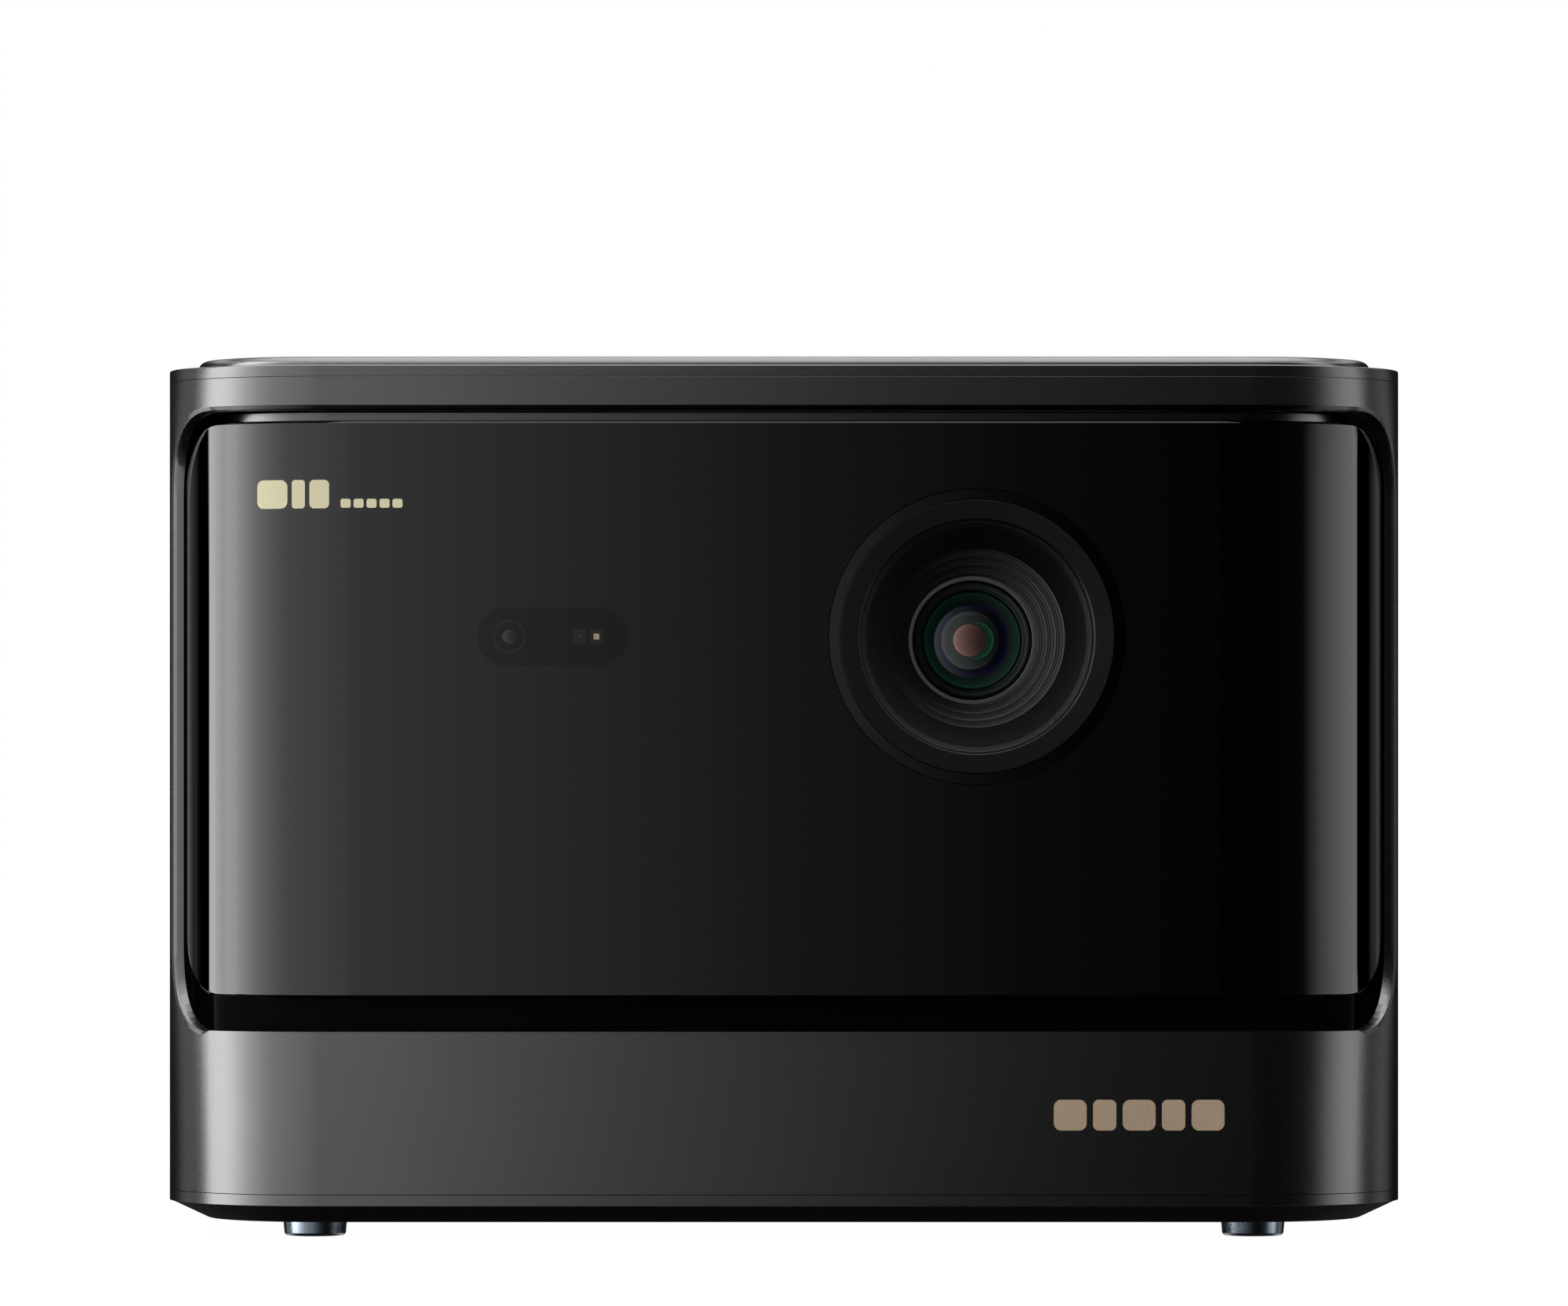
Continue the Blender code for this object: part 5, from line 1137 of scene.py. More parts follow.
@dataclass
class SensorWindow:
    """Dark pill-shaped window with the camera and the two distance sensors behind it."""

    height: float
    front: float
    half_width: float = 14.3 * MM
    half_height: float = 5.5 * MM

    def build(self) -> None:
        """Build the window, the camera's rings and the two small sensors."""
        low, high = node_box("sensor_carrier")
        middle = (low.x + high.x) / 2
        proud = 0.04 * MM
        window_ink = Finish("sensor_window_ink", "gloss_black", (grey(0.0), grey(0.0002)), (0.03, 0.06),
                            grain=900.0, relief=0.0, specular=0.40)
        pill = Shape.block("sensor_window_pill",
                           (middle - self.half_width, self.front - proud, self.height - self.half_height),
                           (middle + self.half_width, self.front + 0.3 * MM, self.height + self.half_height))
        pill.round_corners(self.half_height - 0.01 * MM, 24, Axis.Y)
        pill.finish(window_ink, replaces=["sensor_carrier"], smooth=25.0)
        camera_low, camera_high = node_box("camera_module")
        x = (camera_low.x + camera_high.x) / 2
        face = self.front - proud
        ring_finish = Finish("camera_ring_ink", "gloss_black", (grey(0.0025), grey(0.004)), (0.08, 0.12),
                             grain=2000.0, relief=0.0)
        Shape.turned("camera_ring", Axis.Y, (x, face, self.height),
                     ((3.1 * MM, 0.02 * MM), (3.1 * MM, -0.03 * MM), (2.75 * MM, -0.03 * MM),
                      (2.75 * MM, 0.02 * MM)), 64)\
            .finish(ring_finish, replaces=["camera_module"])
        # Camera lens colour: darker at the centre, lighter towards the rim.
        eye = Zones("camera_eye_coating", "lens_glass", (grey(0.1), grey(0.1)), (0.03, 0.06), 0.3,
                    grain=900.0,
                    relief=0.0, coat=0.6, centre=(x, 0.0, self.height), radius=1.3 * MM,
                    rings=((0.0, (0.002, 0.002, 0.003)), (0.45, (0.004, 0.004, 0.008)),
                           (0.8, (0.012, 0.012, 0.020)),
                           (1.0, (0.020, 0.022, 0.024))))
        Shape.turned("camera_eye", Axis.Y, (x, face, self.height),
                     ((1.3 * MM, 0.02 * MM), (1.3 * MM, -0.02 * MM), (0.9 * MM, -0.05 * MM),
                      (0.4 * MM, -0.07 * MM),
                      (0.05 * MM, -0.08 * MM)), 48, closed=False).finish(eye)
        square_ink = Finish("distance_sensor_ink", "satin_black", (grey(0.004), grey(0.006)), (0.15, 0.22),
                            grain=3000.0, relief=0.0)
        for index, (x, nodes) in enumerate(((-38.6 * MM, ["tof_module"]), (-35.45 * MM, []))):
            square = Shape.block(f"distance_sensor_{index + 1}",
                                 (x - 1.3 * MM, face - 0.04 * MM, self.height - 1.4 * MM),
                                 (x + 1.3 * MM, face + 0.02 * MM, self.height + 1.4 * MM))
            square.round_corners(0.3 * MM, 5, Axis.Y)
            square.finish(square_ink, replaces=nodes)
            half = (0.12 if index == 0 else 0.55) * MM
            die = Shape.block(f"sensor_die_{index + 1}", (x - half, face - 0.06 * MM, self.height - half),
                              (x + half, face - 0.03 * MM, self.height + half))
            die.round_corners(0.3 * half, 4, Axis.Y)
            die.finish(TAN_GOLD if index else GREY_PLASTIC)


@dataclass
class Marks:
    """Plain gold marks that stand where a printed name would be."""

    thickness: float = 0.03 * MM
    roundness: float = 0.24

    def bar(self, plan: Plan, name: str, low: Pair, high: Pair, finish: Finish) -> None:
        """Printed bar with round ends, bent with the surface that carries it.

        Args:
            plan: Plan outline of the surface that carries the bar.
            name: Name of the piece.
            low: Lower left corner in millimetres: distance from the front's middle, and height.
            high: Upper right corner, likewise.
            finish: Ink.
        """
        middle = plan.length / 2
        bar = Shape.block(name, (middle + low[0] * MM, -self.thickness, low[1] * MM),
                          (middle + high[0] * MM, self.thickness, high[1] * MM))
        bar.round_corners(min(high[0] - low[0], high[1] - low[1]) * MM * self.roundness, 8, Axis.Y)
        bar.divide([middle + (low[0] + (high[0] - low[0]) * step / 6) * MM for step in range(1, 6)])
        bar.bend(plan).finish(finish)

    def build(self, housing: Plan, glass: Plan) -> None:
        """Bold and fine bars at the top left of the glass, and a row of bars on the lower band.

        Args:
            housing: Plan outline of the housing.
            glass: Plan outline of the glass.
        """
        for index, (start, width) in enumerate(((-100.6, 6.4), (-93.3, 2.6), (-89.8, 3.8))):
            self.bar(glass, f"glass_mark_{index + 1}", (start, 138.7), (start + width, 144.1), GOLD)
        for index in range(5):
            start = -83.8 + 2.45 * index
            self.bar(glass, f"glass_dash_{index + 1}", (start, 138.8), (start + 1.9, 140.5), GOLD)
        start = 50.9
        for index, width in enumerate((6.2, 4.4, 6.2, 4.4, 6.2)):
            self.bar(housing, f"band_mark_{index + 1}", (start, 21.2), (start + width, 27.0), TAN_GOLD)
            start += width + 1.2


@dataclass
class Underside:
    """Feet, base screws and the tripod thread."""

    def build_foot(self, node: str) -> None:
        """Turned foot with a rounded lower edge and a recessed rubber pad."""
        low, high = node_box(node)
        centre = ((low.x + high.x) / 2, (low.y + high.y) / 2, 0.0)
        outline = fillet([(6.2 * MM, 3.9 * MM, 0.1 * MM), (5.85 * MM, 0.0, 0.7 * MM),
                          (5.0 * MM, 0.0, 0.1 * MM),
                          (4.8 * MM, 0.35 * MM, 0.0), (4.8 * MM, 3.9 * MM, 0.0)])
        Shape.turned(node + "_body", Axis.Z, centre, outline, 72).finish(FOOT_RUBBER, replaces=[node])
        Shape.turned(node + "_pad", Axis.Z, centre,
                     ((4.75 * MM, 1.2 * MM), (4.75 * MM, 0.25 * MM), (4.4 * MM, 0.1 * MM),
                      (0.3 * MM, 0.1 * MM)),
                     48, closed=False).finish(MATTE_BLACK)

    def build_screw(self, node: str) -> None:
        """Domed screw head with a hexagon socket."""
        low, high = node_box(node)
        centre = ((low.x + high.x) / 2, (low.y + high.y) / 2, low.z)
        head = Shape.turned(node + "_head", Axis.Z, centre, fillet([
            (2.8 * MM, 1.3 * MM, 0.0), (2.8 * MM, 0.0, 0.4 * MM), (1.5 * MM, 0.0, 0.1 * MM),
            (1.3 * MM, 0.9 * MM, 0.0),
            (1.3 * MM, 1.3 * MM, 0.0)]), 48)
        floor = Shape.turned("floor", Axis.Z, centre, ((1.29 * MM, 0.8 * MM), (1.29 * MM, 1.2 * MM)), 6,
                             closed=False)
        head.join(floor).finish(STEEL, replaces=[node])

    def build_thread(self) -> None:
        """Brass insert with thread rings in its bore."""
        low, high = node_box("tripod_insert")
        outline = [(7.0 * MM, 0.0), (7.0 * MM, 0.8 * MM), (5.0 * MM, 0.8 * MM), (5.0 * MM, high.z - low.z)]
        turns = 9
        pitch = 0.8 * MM
        for turn in range(turns):
            top = high.z - low.z - 0.2 * MM - turn * pitch
            outline += [(3.3 * MM, top), (3.0 * MM, top - pitch / 2)]
        outline += [(3.4 * MM, 0.0)]
        Shape.turned("tripod_thread_insert", Axis.Z, (0.0, 0.0, low.z), outline, 48)\
            .finish(BRASS, replaces=["tripod_insert"], smooth=20.0)

    def build(self) -> None:
        """Build everything under the base."""
        for end in ("front", "rear"):
            for side in ("left", "right"):
                self.build_foot(f"foot_{end}_{side}")
                self.build_screw(f"base_screw_{end}_{side}")
        self.build_thread()


@dataclass
class Grilles:
    """Slatted grilles: a frame with round corners and upright slats with soft edges."""

    pitch: float = 4.0 * MM
    slat: float = 2.3 * MM
    frame: float = 3.4 * MM
    depth: float = 3.2 * MM

    def build_grille(self, node: str, axis: Axis, corner: float, upper_only: bool = False) -> None:
        """Grille in the box of its CAD node.

        Args:
            node: CAD node that it replaces.
            axis: Axis that the grille faces.
            corner: Corner radius of the frame.
            upper_only: Whether only the two upper corners are round.
        """
        low, high = node_box(node)
        run = Axis.Y if axis is Axis.X else Axis.X
        frame = Shape.block(node + "_frame", low, high)

        def corner_edge(a: Vector, b: Vector) -> bool:
            """Edge along the facing axis, at a corner that is round."""
            along = (a - b).cross(axis.vector).length < 1e-6
            return along and (not upper_only or a.z > (low.z + high.z) / 2)

        frame.bevel(corner, 10, corner_edge)
        inner_low, inner_high = low.copy(), high.copy()
        for index in (run.value, 2):
            inner_low[index] += self.frame
            inner_high[index] -= self.frame
        inner_low[axis.value] -= 1 * MM
        inner_high[axis.value] += 1 * MM
        hole = Shape.block("hole", inner_low, inner_high)
        hole.bevel(max(corner - self.frame, 1 * MM), 10, corner_edge)
        frame.cut(hole).soften(0.35 * MM, 2)
        inner_low[axis.value] += 1.4 * MM
        inner_high[axis.value] -= 1.4 * MM
        length = inner_high[run.value] - inner_low[run.value]
        count = int(length // self.pitch)
        start = inner_low[run.value] + (length - (count - 1) * self.pitch) / 2
        first_low, first_high = inner_low.copy(), inner_high.copy()
        first_low[run.value] = start - self.slat / 2
        first_high[run.value] = start + self.slat / 2
        first_low.z = low.z + self.frame * 0.6
        first_high.z = high.z - self.frame * 0.6
        slat = Shape.block("slat", first_low, first_high).soften(0.6 * MM, 3)
        slats = [slat.copy("slat", run.vector * self.pitch * step) for step in range(1, count)]
        frame.join(slat, *slats)
        frame.finish(MATTE_BLACK, replaces=[node])

    def build(self) -> None:
        """Build the side grilles and the rear grille."""
        self.build_grille("side_grille_left", Axis.X, 7.7 * MM)
        self.build_grille("side_grille_right", Axis.X, 7.7 * MM)
        self.build_grille("rear_grille", Axis.Y, 7.7 * MM, upper_only=True)


@dataclass
class RearPanel:
    """Connector panel with its sockets and the power button."""

    corner: float = 7.7 * MM
    wall: float = 0.55 * MM
    sockets: tuple[str, ...] = ("lan_port", "hdmi_port_1", "hdmi_port_2", "usb_port_1", "usb_port_2",
                                "optical_port")
    round_sockets: tuple[str, ...] = ("dc_jack", "headphone_jack")

    def build_panel(self) -> None:
        """Panel with an opening for each socket and for the button."""
        low, high = node_box("rear_panel")
        panel = Shape.block("connector_panel", low, high)
        panel.bevel(self.corner, 10, lambda a, b: abs(a.y - b.y) > 1 * MM and max(a.z, b.z) < low.z + 1e-6)
        panel.soften(0.3 * MM, 2, 60.0)
        gap = 0.25 * MM
        cutters = []
        for node in self.sockets:
            box_low, box_high = node_box(node)
            cutter = Shape.block("cut", (box_low.x - gap, low.y - 1 * MM, box_low.z - gap),
                                 (box_high.x + gap, high.y + 1 * MM, box_high.z + gap))
            cutters.append(cutter.round_corners(0.9 * MM, 4, Axis.Y))
        for node in (*self.round_sockets, "power_button"):
            box_low, box_high = node_box(node)
            radius = 4.6 * MM if node == "power_button" else (box_high.x - box_low.x) / 2
            cutters.append(Shape.turned("cut", Axis.Y,
                                        ((box_low.x + box_high.x) / 2, low.y, (box_low.z + box_high.z) / 2),
                                        ((radius + gap, -1 * MM), (radius + gap, 6 * MM)), 64, closed=False))
        panel.cut(*cutters)
        panel.finish(MATTE_BLACK, replaces=["rear_panel"])

    def shell(self, node: str, finish: Finish) -> None:
        """Folded metal or moulded shell of a rectangular socket."""
        low, high = node_box(node)
        body = Shape.block(node + "_shell", low, high).round_corners(0.7 * MM, 4, Axis.Y)
        hollow = Shape.block("hollow", (low.x + self.wall, low.y + 1 * MM, low.z + self.wall),
                             (high.x - self.wall, high.y + 1 * MM,
                              high.z - self.wall)).round_corners(0.4 * MM, 3, Axis.Y)
        body.cut(hollow)
        body.soften(0.12 * MM, 2, 50.0).finish(finish, replaces=[node])

    def tongue(self, node: str, finish: Finish, rise: float, contacts: int) -> None:
        """Contact tongue inside a socket.

        Args:
            node: CAD node of the socket.
            finish: Finish of the tongue.
            rise: Height of the tongue as a share of the socket's height.
            contacts: Number of contacts on it.
        """
        low, high = node_box(node)
        width, height = high.x - low.x, high.z - low.z
        z = low.z + height * rise
        tongue = Shape.block(node + "_tongue", (low.x + width * 0.16, low.y + 1 * MM, z - 0.7 * MM),
                             (high.x - width * 0.16, high.y - 2.2 * MM, z + 0.7 * MM))
        tongue.soften(0.2 * MM, 2).finish(finish)
        span = width * 0.58
        first = Shape.block(node + "_contacts",
                            (low.x + width * 0.21 - 0.25 * MM, low.y + 2 * MM, z - 0.78 * MM),
                            (low.x + width * 0.21 + 0.25 * MM, high.y - 2.6 * MM,
                             z - 0.66 * MM)).soften(0.03 * MM, 1)
        rest = [first.copy("contact", (span * step / (contacts - 1), 0.0, 0.0))
                for step in range(1, contacts)]
        first.join(*rest).finish(GOLD_CONTACT)

    def build_sockets(self) -> None:
        """Build every socket."""
        for node in ("hdmi_port_1", "hdmi_port_2"):
            self.shell(node, STEEL)
            self.tongue(node, MATTE_BLACK, 0.62, 9)
        for node in ("usb_port_1", "usb_port_2"):
            self.shell(node, STEEL)
            self.tongue(node, SOCKET_BLUE, 0.70, 4)
        self.shell("lan_port", STEEL)
        self.tongue("lan_port", MATTE_BLACK, 0.86, 8)
        low, high = node_box("lan_port")
        for side, finish in ((0.2, LED_WHITE), (0.8, GOLD_CONTACT)):
            x = low.x + (high.x - low.x) * side
            lamp = Shape.block(f"lan_lamp_{int(side * 10)}",
                               (x - 1.2 * MM, high.y - 0.5 * MM, low.z + 0.7 * MM),
                               (x + 1.2 * MM, high.y + 0.05 * MM, low.z + 2.0 * MM))
            lamp.soften(0.2 * MM, 2).finish(finish)
        self.shell("optical_port", MATTE_BLACK)
        low, high = node_box("optical_port")
        shutter = Shape.block("optical_shutter", (low.x + 1.5 * MM, high.y - 1.6 * MM, low.z + 1.5 * MM),
                              (high.x - 1.5 * MM, high.y - 0.8 * MM, high.z - 1.5 * MM))
        shutter.round_corners(1.6 * MM, 4, Axis.Y).soften(0.15 * MM, 2).finish(GREY_PLASTIC)
        for node, bore, pin, finish in (("dc_jack", 3.3, 1.1, STEEL),
                                        ("headphone_jack", 1.8, 0.0, GOLD_CONTACT)):
            low, high = node_box(node)
            centre = ((low.x + high.x) / 2, low.y, (low.z + high.z) / 2)
            radius, length = (high.x - low.x) / 2 / MM, (high.y - low.y) / MM
            outline = [(radius * MM, 0.0, 0.0), (radius * MM, length * MM, 0.25 * MM),
                       ((bore + 1.0) * MM, length * MM, 0.1 * MM),
                       (bore * MM, (length - 0.9) * MM, 0.1 * MM),
                       (bore * MM, 2.2 * MM, 0.0), (0.5 * MM, 2.0 * MM, 0.0), (0.5 * MM, 0.0, 0.0)]
            Shape.turned(node + "_body", Axis.Y, centre, fillet(outline, 3), 56)\
                .finish(MATTE_BLACK, replaces=[node])
            sleeve = [((bore - 0.02) * MM, 2.4 * MM), ((bore - 0.02) * MM, (length - 1.4) * MM),
                      ((bore - 0.35) * MM, (length - 1.4) * MM), ((bore - 0.35) * MM, 2.4 * MM)]
            Shape.turned(node + "_sleeve", Axis.Y, centre, sleeve, 48).finish(finish)
            if pin:
                stem = [(pin * MM, 2.0 * MM), (pin * MM, (length - 3.2) * MM),
                        (0.5 * pin * MM, (length - 2.4) * MM)]
                Shape.turned(node + "_pin", Axis.Y, centre, stem, 32, closed=False).finish(finish)

    def build_button(self) -> None:
        """Power button with a dished face and a plain ring on it."""
        low, high = node_box("power_button")
        centre = ((low.x + high.x) / 2, low.y, (low.z + high.z) / 2)
        travel = (high.y - low.y) / MM
        outline = fillet([(1.5 * MM, 0.0, 0.0), (1.5 * MM, 3.0 * MM, 0.0), (6.0 * MM, 3.0 * MM, 0.1 * MM),
                          (6.0 * MM, 4.4 * MM, 0.1 * MM), (4.5 * MM, 4.4 * MM, 0.0),
                          (4.5 * MM, travel * MM, 0.35 * MM),
                          (3.6 * MM, (travel - 0.05) * MM, 0.1 * MM),
                          (2.6 * MM, (travel - 0.22) * MM, 0.1 * MM),
                          (0.4 * MM, (travel - 0.3) * MM, 0.0), (0.4 * MM, 0.0, 0.0)], 3)
        Shape.turned("power_button_cap", Axis.Y, centre, outline, 72)\
            .finish(SATIN_BLACK, "power_button", ["power_button"])
        disc = ((0.6 * MM, (travel - 0.4) * MM), (0.6 * MM, (travel - 0.29) * MM),
                (0.2 * MM, (travel - 0.27) * MM))
        Shape.turned("power_button_centre", Axis.Y, centre, disc, 32, closed=False)\
            .finish(LED_WHITE, "power_button")

    def build(self) -> None:
        """Build the panel, the sockets and the button."""
        self.build_panel()
        self.build_sockets()
        self.build_button()


@dataclass
class Sound:
    """Loudspeaker cones with their rubber surround and dust cap."""

    def build_cone(self, side: int) -> None:
        """Cone that faces the grille on one side.

        Args:
            side: -1 for the left, 1 for the right.
        """
        name = "left" if side < 0 else "right"
        low, high = node_box(f"speaker_cone_{name}")
        outer = low.x if side < 0 else high.x
        centre = (outer, (low.y + high.y) / 2, (low.z + high.z) / 2)
        radius = (high.y - low.y) / 2
        outline = [(radius, -1.6 * MM), (radius, -0.7 * MM)]
        outline += [(radius - 2.2 * MM + 2.0 * MM * math.cos(math.radians(a)),
                     -0.9 * MM + 0.9 * MM * math.sin(math.radians(a))) for a in range(20, 180, 20)]
        outline += [(radius - 4.4 * MM, -1.2 * MM), (7.4 * MM, -6.6 * MM)]
        outline += [(7.2 * MM * math.cos(math.radians(a)), (-6.2 + 3.4 * math.sin(math.radians(a))) * MM)
                    for a in range(10, 90, 10)]
        outline += [(0.3 * MM, -2.8 * MM), (0.3 * MM, -7.9 * MM), (7.6 * MM, -7.9 * MM),
                    (radius - 4.6 * MM, -2.6 * MM)]
        if side < 0:
            outline = [(r, -h) for r, h in outline]
        Shape.turned(f"speaker_cone_{name}_face", Axis.X, centre, outline, 72)\
            .finish(GREY_PLASTIC, f"cone_{name}", [f"speaker_cone_{name}"], smooth=45.0)

    def build(self) -> None:
        """Build both cones."""
        self.build_cone(-1)
        self.build_cone(1)


@dataclass
class Inside:
    """CAD pieces that show only through the grilles, with their own finishes."""

    def dress(self, frame: dict) -> None:
        """Give every CAD node that is still shown the finish of its slot.
        """
        for name, node in frame["nodes"].items():
            if node.hide_render:
                continue
            for holder in node.material_slots:
                finish = BY_SLOT[holder.material.name.split(".")[0]]
                holder.link = "OBJECT"
                holder.material = finish.material()
            LOG.info("%s keeps its CAD shape", name)


@dataclass
class Studio:
    """Floor, reflecting cards, world light and camera."""

    eye: Triple = (0.0, -1.68575, 0.0866)
    focal: float = 192.888
    shift: float = 0.0835
    tent_radius: float = 0.36
    tent_low: float = -0.10
    tent_high: float = 0.46
    wing: float = 0.45
    squeeze: float = 0.063
    canopy: float = 1.7
    glow: tuple[Pair, ...] = (
        (-90.0, 0.0), (-77.0, 0.0), (-76.5, 2.4), (-73.0, 2.2), (-69.5, 2.1), (-65.5, 1.8), (-61.5, 1.45),
        (-57.5, 1.07), (-53.5, 0.52), (-51.0, 0.22), (-49.0, 0.05), (-38.0, 0.02), (-17.0, 0.012),
        (-8.0, 0.07),
        (0.0, 0.2), (6.0, 0.42), (11.0, 0.63), (17.0, 1.0), (25.0, 1.15), (34.0, 1.3), (41.0, 1.5),
        (46.5, 2.1), (52.5, 3.0), (55.5, 3.9), (59.5, 4.9), (63.0, 6.2), (66.5, 6.4), (69.5, 5.7),
        (72.5, 6.3), (76.0, 7.1), (78.0, 7.2), (78.4, 0.0), (90.0, 0.0))

    def build_floor(self) -> None:
        """Plain pale floor."""
        clear_selection()
        bpy.ops.mesh.primitive_circle_add(vertices=128, radius=6.0, fill_type="NGON",
                                          location=(0.0, 0.0, 0.0))
        floor = bpy.context.object
        floor.name = "floor"
        made = bpy.data.materials.new("pale_floor")
        made.use_nodes = True
        nodes = Nodes(made.node_tree)
        shader = nodes.add("BsdfPrincipled")
        speck = nodes.noise(nodes.place(), 60.0)
        nodes.link(nodes.blend(nodes.fade(speck, 0.3, 0.7), (0.07, 0.07, 0.07), (0.09, 0.09, 0.09)),
                   shader.inputs["Base Color"])
        shader.inputs["Roughness"].default_value = 0.9
        shader.inputs["Specular IOR Level"].default_value = 0.0
        shader.inputs["Emission Color"].default_value = (1.0, 1.0, 1.0, 1.0)
        shader.inputs["Emission Strength"].default_value = 0.985
        out = nodes.add("OutputMaterial")
        nodes.link(shader.outputs[0], out.inputs["Surface"])
        floor.data.materials.append(made)
        floor.visible_glossy = False
        floor.visible_diffuse = False

    def card_material(self, name: str,
                      strength: Callable[[Nodes], bpy.types.NodeSocket]) -> bpy.types.Material:
        """Emission material whose strength comes from nodes."""
        made = bpy.data.materials.new(name)
        made.use_nodes = True
        nodes = Nodes(made.node_tree)
        glow = nodes.add("Emission")
        nodes.link(strength(nodes), glow.inputs["Strength"])
        out = nodes.add("OutputMaterial")
        nodes.link(glow.outputs[0], out.inputs["Surface"])
        return made

    def hide_card(self, card: bpy.types.Object) -> None:
        """Let a card show in reflections only."""
        card.visible_camera = False
        card.visible_diffuse = False
        card.visible_shadow = False
        card.visible_transmission = False

    def tent_strength(self, nodes: Nodes) -> bpy.types.NodeSocket:
        """Strength of the tent by its bearing from the front, left positive, and by height."""
        split = nodes.add("SeparateXYZ")
        nodes.link(nodes.place(), split.inputs[0])
        bearing = nodes.math("ARCTAN2", nodes.math("MULTIPLY", split.outputs["X"], -1.0),
                             nodes.math("MULTIPLY", split.outputs["Y"], -1.0))
        height = split.outputs["Z"]
        facing = nodes.math("MULTIPLY", nodes.fade(height, 0.0325, 0.0345),
                            nodes.fade(height, 0.1690, 0.1705, 1.0, 0.0))
        bearing = nodes.math("MULTIPLY", bearing, nodes.math("SUBTRACT", 1.0, nodes.math(
            "MULTIPLY", facing, self.squeeze)))
        share = nodes.math("ADD", nodes.math("DIVIDE", bearing, math.pi), 0.5)
        curve = nodes.add("FloatCurve")
        points = curve.mapping.curves[0].points
        top = max(value for _, value in self.glow)
        places = [((angle + 90.0) / 180.0, value / top) for angle, value in self.glow]
        while len(points) < len(places):
            points.new(0.5, 0.5)
        for point, place in zip(points, places):
            point.location = place
            point.handle_type = "VECTOR"
        curve.mapping.update()
        nodes.link(share, curve.inputs["Value"])
        turn = nodes.math("ABSOLUTE", bearing)
        wing = nodes.math("MULTIPLY", nodes.fade(turn, math.radians(84), math.radians(96), 0.0, self.wing),
                          nodes.fade(turn, math.radians(100), math.radians(116), 1.0, 0.0))
        level = nodes.math("ADD", nodes.math("MULTIPLY", curve.outputs["Value"], top), wing)
        level = nodes.math("ADD", level, nodes.fade(height, 0.325, 0.365, 0.0, self.canopy))
        level = nodes.math("MULTIPLY", level, nodes.fade(height, -0.06, -0.03))
        return nodes.math("MULTIPLY", level,
                          nodes.fade(height, self.tent_high - 0.05, self.tent_high, 1.0, 0.0))

    def build_tent(self) -> None:
        """Half-round reflecting tent in front of the object."""
        clear_selection()
        bpy.ops.mesh.primitive_cylinder_add(vertices=256, radius=self.tent_radius,
                                            depth=self.tent_high - self.tent_low,
                                            end_fill_type="NOTHING",
                                            location=(0.0, 0.0, (self.tent_high + self.tent_low) / 2))
        tent = Shape("reflecting_tent")
        with tent.editing():
            bpy.ops.mesh.select_all(action="SELECT")
            bpy.ops.mesh.bisect(plane_co=(0.0, 0.28, 0.0), plane_no=(0.0, 1.0, 0.0), clear_outer=True)
        tent.object.data.materials.append(self.card_material("tent_glow", self.tent_strength))
        self.hide_card(tent.object)

    def build_overhead(self) -> None:
        """Soft card above the object."""
        def strength(nodes: Nodes) -> bpy.types.NodeSocket:
            """Bright middle, fading to the edges."""
            length = nodes.add("VectorMath", operation="LENGTH")
            nodes.link(nodes.place((0.0, -0.08, 0.62), (1.0, 1.0, 0.0)), length.inputs[0])
            return nodes.fade(length.outputs["Value"], 0.27, 0.60, 3.8, 0.0)

        clear_selection()
        bpy.ops.mesh.primitive_plane_add(size=1.3, location=(0.0, -0.08, 0.62))
        card = Shape("overhead_card")
        card.object.data.materials.append(self.card_material("overhead_glow", strength))
        self.hide_card(card.object)

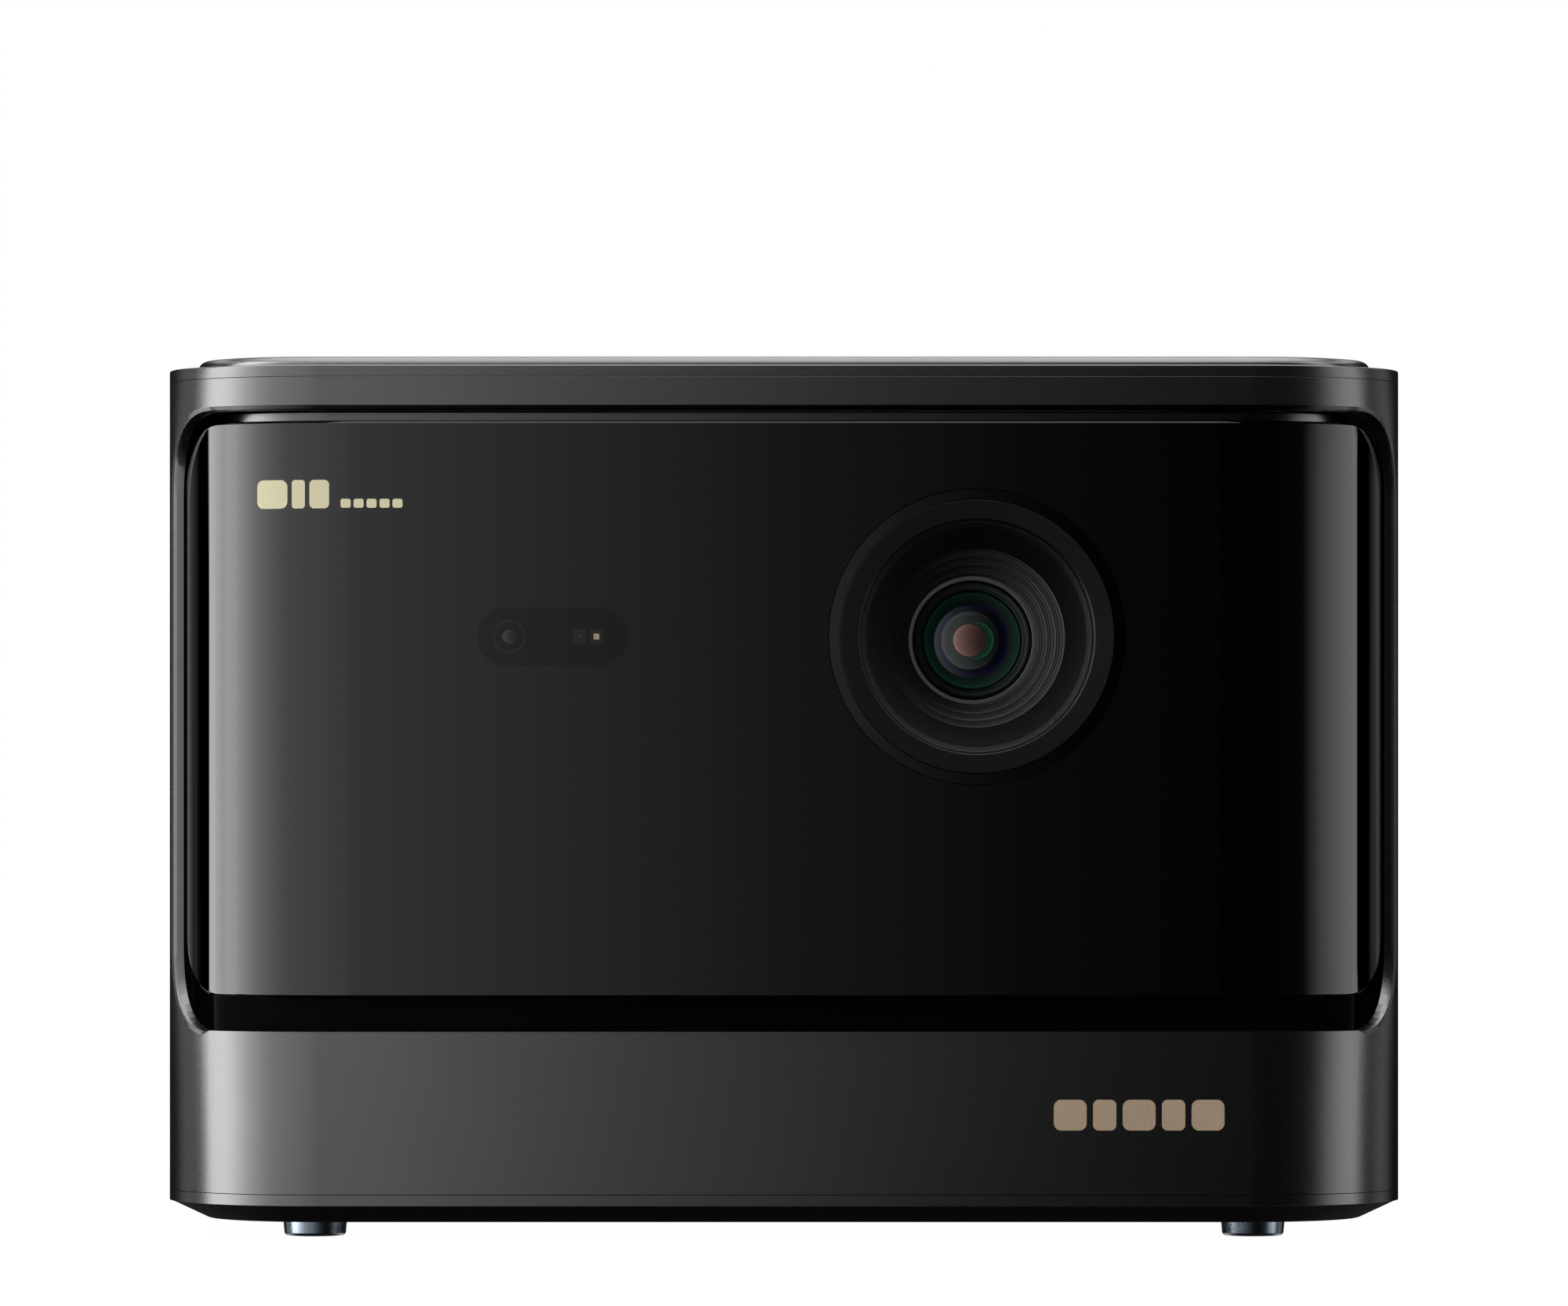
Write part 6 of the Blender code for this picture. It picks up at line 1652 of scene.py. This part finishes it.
    def build_world(self) -> None:
        """White surroundings, with a darker studio in reflections."""
        world = bpy.data.worlds.new("studio")
        world.use_nodes = True
        bpy.context.scene.world = world
        nodes = Nodes(world.node_tree)
        where = nodes.add("TexCoord")
        split = nodes.add("SeparateXYZ")
        nodes.link(where.outputs["Generated"], split.inputs[0])
        behind = nodes.fade(split.outputs["Y"], -0.35, 0.45)
        drop = nodes.math("MULTIPLY", split.outputs["Z"], -1.0)
        low = nodes.math("MULTIPLY", nodes.fade(drop, 0.20, 0.45, 0.0, 0.6),
                         nodes.fade(drop, 0.5, 0.7, 1.0, 0.0))
        high = nodes.fade(split.outputs["Z"], 0.26, 0.60, 0.0, 1.0)
        strength = nodes.math("ADD", nodes.math("MULTIPLY", behind, nodes.math("ADD", low, high)), 0.012)
        soft = nodes.fade(split.outputs["Z"], -0.25, 0.25, 0.12, 1.0)
        path = nodes.add("LightPath")
        level = nodes.math("MULTIPLY", path.outputs["Is Glossy Ray"], strength)
        level = nodes.math("ADD", level, nodes.math("MULTIPLY", path.outputs["Is Diffuse Ray"], soft))
        level = nodes.math("ADD", level, path.outputs["Is Camera Ray"])
        glow = nodes.add("Background")
        glow.inputs["Color"].default_value = (1.0, 1.0, 1.0, 1.0)
        nodes.link(level, glow.inputs["Strength"])
        out = nodes.add("OutputWorld")
        nodes.link(glow.outputs[0], out.inputs["Surface"])
        world.cycles.sampling_method = "NONE"

    def build_camera(self) -> None:
        """Camera straight in front, a little below the middle of the object."""
        data = bpy.data.cameras.new("camera")
        data.lens = self.focal
        data.sensor_width = 36.0
        data.shift_y = self.shift
        camera = bpy.data.objects.new("camera", data)
        camera.location = self.eye
        camera.rotation_euler = (math.pi / 2, 0.0, 0.0)
        bpy.context.scene.collection.objects.link(camera)
        bpy.context.scene.camera = camera

    def build(self) -> None:
        """Build the studio."""
        self.build_floor()
        self.build_tent()
        self.build_overhead()
        self.build_world()
        self.build_camera()
        bpy.context.scene.view_settings.view_transform = "Standard"


def lens_centre() -> Vector:
    """Centre of the lens, from its hood."""
    low, high = node_box("lens_hood")
    return (low + high) / 2


def main() -> None:
    """Load the frame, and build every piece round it."""
    logging.basicConfig(level=logging.INFO, format="%(name)s: %(message)s")
    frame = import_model()
    glass_low, _ = node_box("front_glass")
    lens = lens_centre()
    housing = Housing()
    housing.build()
    glass = FrontGlass()
    glass.build(lens)
    Lens(lens, glass_low.y).build()
    SensorWindow(lens.z, glass_low.y).build()
    Marks().build(housing.plan, glass.plan)
    Underside().build()
    Grilles().build()
    RearPanel().build()
    Sound().build()
    Inside().dress(frame)
    Studio().build()
    clear_selection()


if __name__ == "__main__":
    main()
